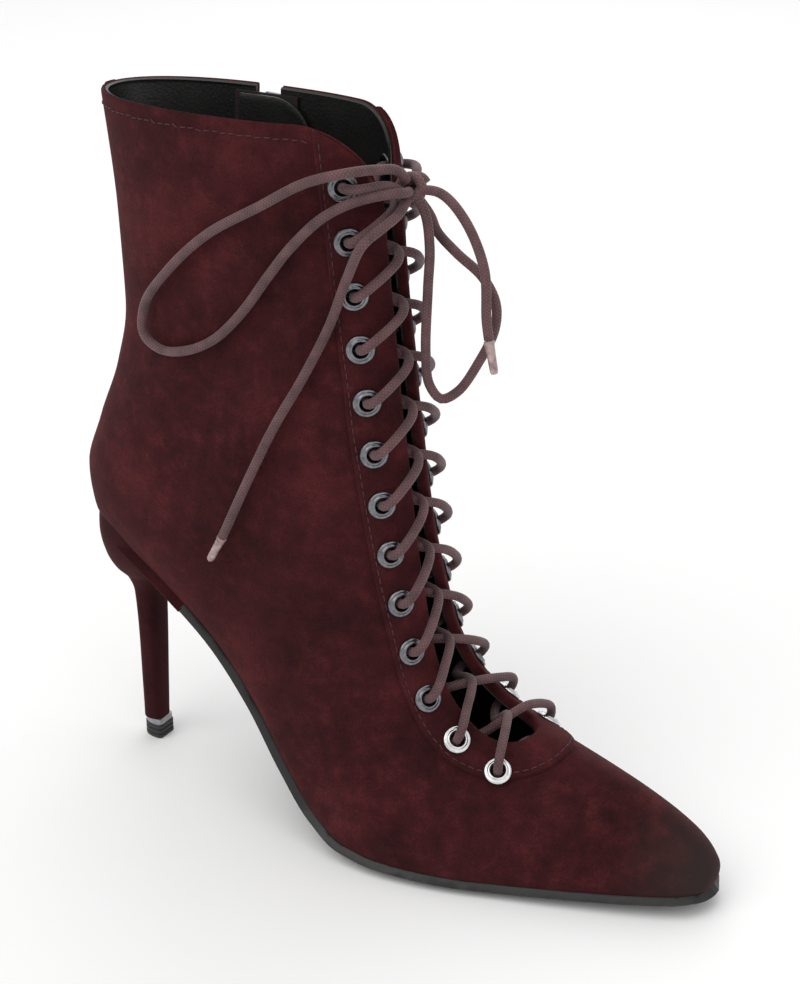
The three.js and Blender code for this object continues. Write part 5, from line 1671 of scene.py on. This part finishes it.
class BootSizes(bpy.types.PropertyGroup):
    """Sizes and settings that a user would change."""

    cord_diameter: bpy.props.FloatProperty(
        name="Cord diameter", description="Thickness of the round lace", default=0.003, unit="LENGTH", subtype="DISTANCE"
    )
    stitch_pitch: bpy.props.FloatProperty(
        name="Stitch pitch", description="Distance from stitch to stitch", default=0.0029, unit="LENGTH", subtype="DISTANCE"
    )
    suede_dark: bpy.props.FloatVectorProperty(
        name="Dark suede", description="Suede where its nap lies away", default=linear("#22090c")[:3], subtype="COLOR"
    )
    suede_middle: bpy.props.FloatVectorProperty(
        name="Suede", description="Main colour of the suede", default=linear("#401519")[:3], subtype="COLOR"
    )
    suede_light: bpy.props.FloatVectorProperty(
        name="Light suede", description="Suede where its nap lies forward", default=linear("#64292b")[:3], subtype="COLOR"
    )
    lens: bpy.props.FloatProperty(name="Lens", description="Camera's focal length in millimetres", default=70.0)


class BOOT_OT_materials(bpy.types.Operator):
    """Make the boot's materials"""

    bl_idname = "boot.materials"
    bl_label = "Materials"

    def execute(self, context):
        make_materials(context.scene.boot_sizes)
        return {"FINISHED"}


class BOOT_OT_stage(bpy.types.Operator):
    """Set up the floor, the lights and the camera"""

    bl_idname = "boot.stage"
    bl_label = "Stage"

    def execute(self, context):
        make_stage(context.scene.boot_sizes)
        return {"FINISHED"}


class BOOT_OT_bow(bpy.types.Operator):
    """Tie the bow: two loops and two ends of cord with their aglets"""

    bl_idname = "boot.bow"
    bl_label = "Bow"

    def execute(self, context):
        make_bow(context.scene.boot_sizes)
        return {"FINISHED"}


class BOOT_OT_knot(bpy.types.Operator):
    """Wind the cord round the middle of the bow"""

    bl_idname = "boot.knot"
    bl_label = "Knot"

    def execute(self, context):
        make_knot(context.scene.boot_sizes)
        return {"FINISHED"}


class BOOT_OT_lacing(bpy.types.Operator):
    """Run the cord through the eyelets"""

    bl_idname = "boot.lacing"
    bl_label = "Lacing"

    def execute(self, context):
        make_lacing(context.scene.boot_sizes)
        return {"FINISHED"}


class BOOT_OT_upper(bpy.types.Operator):
    """Make the suede shell and its leather lining"""

    bl_idname = "boot.upper"
    bl_label = "Upper"

    def execute(self, context):
        make_upper(context.scene.boot_sizes)
        return {"FINISHED"}


class BOOT_OT_facing(bpy.types.Operator):
    """Make the suede facing round the throat"""

    bl_idname = "boot.facing"
    bl_label = "Facing"

    def execute(self, context):
        make_facing(context.scene.boot_sizes)
        return {"FINISHED"}


class BOOT_OT_back_strip(bpy.types.Operator):
    """Make the strip over the back seam"""

    bl_idname = "boot.back_strip"
    bl_label = "Back strip"

    def execute(self, context):
        make_back_strip(context.scene.boot_sizes)
        return {"FINISHED"}


class BOOT_OT_stitching(bpy.types.Operator):
    """Sew the rows of stitches"""

    bl_idname = "boot.stitching"
    bl_label = "Stitching"

    def execute(self, context):
        make_stitching(context.scene.boot_sizes)
        return {"FINISHED"}


class BOOT_OT_eyelets(bpy.types.Operator):
    """Set the metal eyelets"""

    bl_idname = "boot.eyelets"
    bl_label = "Eyelets"

    def execute(self, context):
        make_eyelets(context.scene.boot_sizes)
        return {"FINISHED"}


class BOOT_OT_zip(bpy.types.Operator):
    """Make the zip's tape and teeth"""

    bl_idname = "boot.zip"
    bl_label = "Zip"

    def execute(self, context):
        make_zip(context.scene.boot_sizes)
        return {"FINISHED"}


class BOOT_OT_zip_guard(bpy.types.Operator):
    """Make the leather flap behind the zip"""

    bl_idname = "boot.zip_guard"
    bl_label = "Zip guard"

    def execute(self, context):
        make_zip_guard(context.scene.boot_sizes)
        return {"FINISHED"}


class BOOT_OT_zip_slider(bpy.types.Operator):
    """Make the zip's slider"""

    bl_idname = "boot.zip_slider"
    bl_label = "Zip slider"

    def execute(self, context):
        make_zip_slider(context.scene.boot_sizes)
        return {"FINISHED"}


class BOOT_OT_zip_pull(bpy.types.Operator):
    """Hang the pull tab on the slider"""

    bl_idname = "boot.zip_pull"
    bl_label = "Zip pull"

    def execute(self, context):
        make_zip_pull(context.scene.boot_sizes)
        return {"FINISHED"}


class BOOT_OT_sole(bpy.types.Operator):
    """Make the leather sole and the sock inside"""

    bl_idname = "boot.sole"
    bl_label = "Sole"

    def execute(self, context):
        make_sole(context.scene.boot_sizes)
        return {"FINISHED"}


class BOOT_OT_heel(bpy.types.Operator):
    """Make the covered stiletto heel"""

    bl_idname = "boot.heel"
    bl_label = "Heel"

    def execute(self, context):
        make_heel(context.scene.boot_sizes)
        return {"FINISHED"}


class BOOT_OT_heel_tip(bpy.types.Operator):
    """Make the metal band and the top piece"""

    bl_idname = "boot.heel_tip"
    bl_label = "Heel tip"

    def execute(self, context):
        make_heel_tip(context.scene.boot_sizes)
        return {"FINISHED"}


OPERATORS = (
    BOOT_OT_materials,
    BOOT_OT_stage,
    BOOT_OT_bow,
    BOOT_OT_knot,
    BOOT_OT_lacing,
    BOOT_OT_upper,
    BOOT_OT_facing,
    BOOT_OT_back_strip,
    BOOT_OT_stitching,
    BOOT_OT_eyelets,
    BOOT_OT_zip,
    BOOT_OT_zip_guard,
    BOOT_OT_zip_slider,
    BOOT_OT_zip_pull,
    BOOT_OT_sole,
    BOOT_OT_heel,
    BOOT_OT_heel_tip,
)


class BOOT_PT_panel(bpy.types.Panel):
    """Lists the boot's pieces."""

    bl_label = "Boot"
    bl_idname = "BOOT_PT_panel"
    bl_space_type = "VIEW_3D"
    bl_region_type = "UI"
    bl_category = "Boot"

    def draw(self, context):
        for name in BootSizes.__annotations__:
            self.layout.prop(context.scene.boot_sizes, name)
        for kind in OPERATORS:
            self.layout.operator(kind.bl_idname)


CLASSES = [BootSizes, *OPERATORS, BOOT_PT_panel]


def register():
    for kind in CLASSES:
        bpy.utils.register_class(kind)
    bpy.types.Scene.boot_sizes = bpy.props.PointerProperty(type=BootSizes)


def unregister():
    del bpy.types.Scene.boot_sizes
    for kind in reversed(CLASSES):
        bpy.utils.unregister_class(kind)


def main():
    register()
    for kind in OPERATORS:
        getattr(bpy.ops.boot, kind.bl_idname.split(".")[1])()


if __name__ == "__main__":
    main()
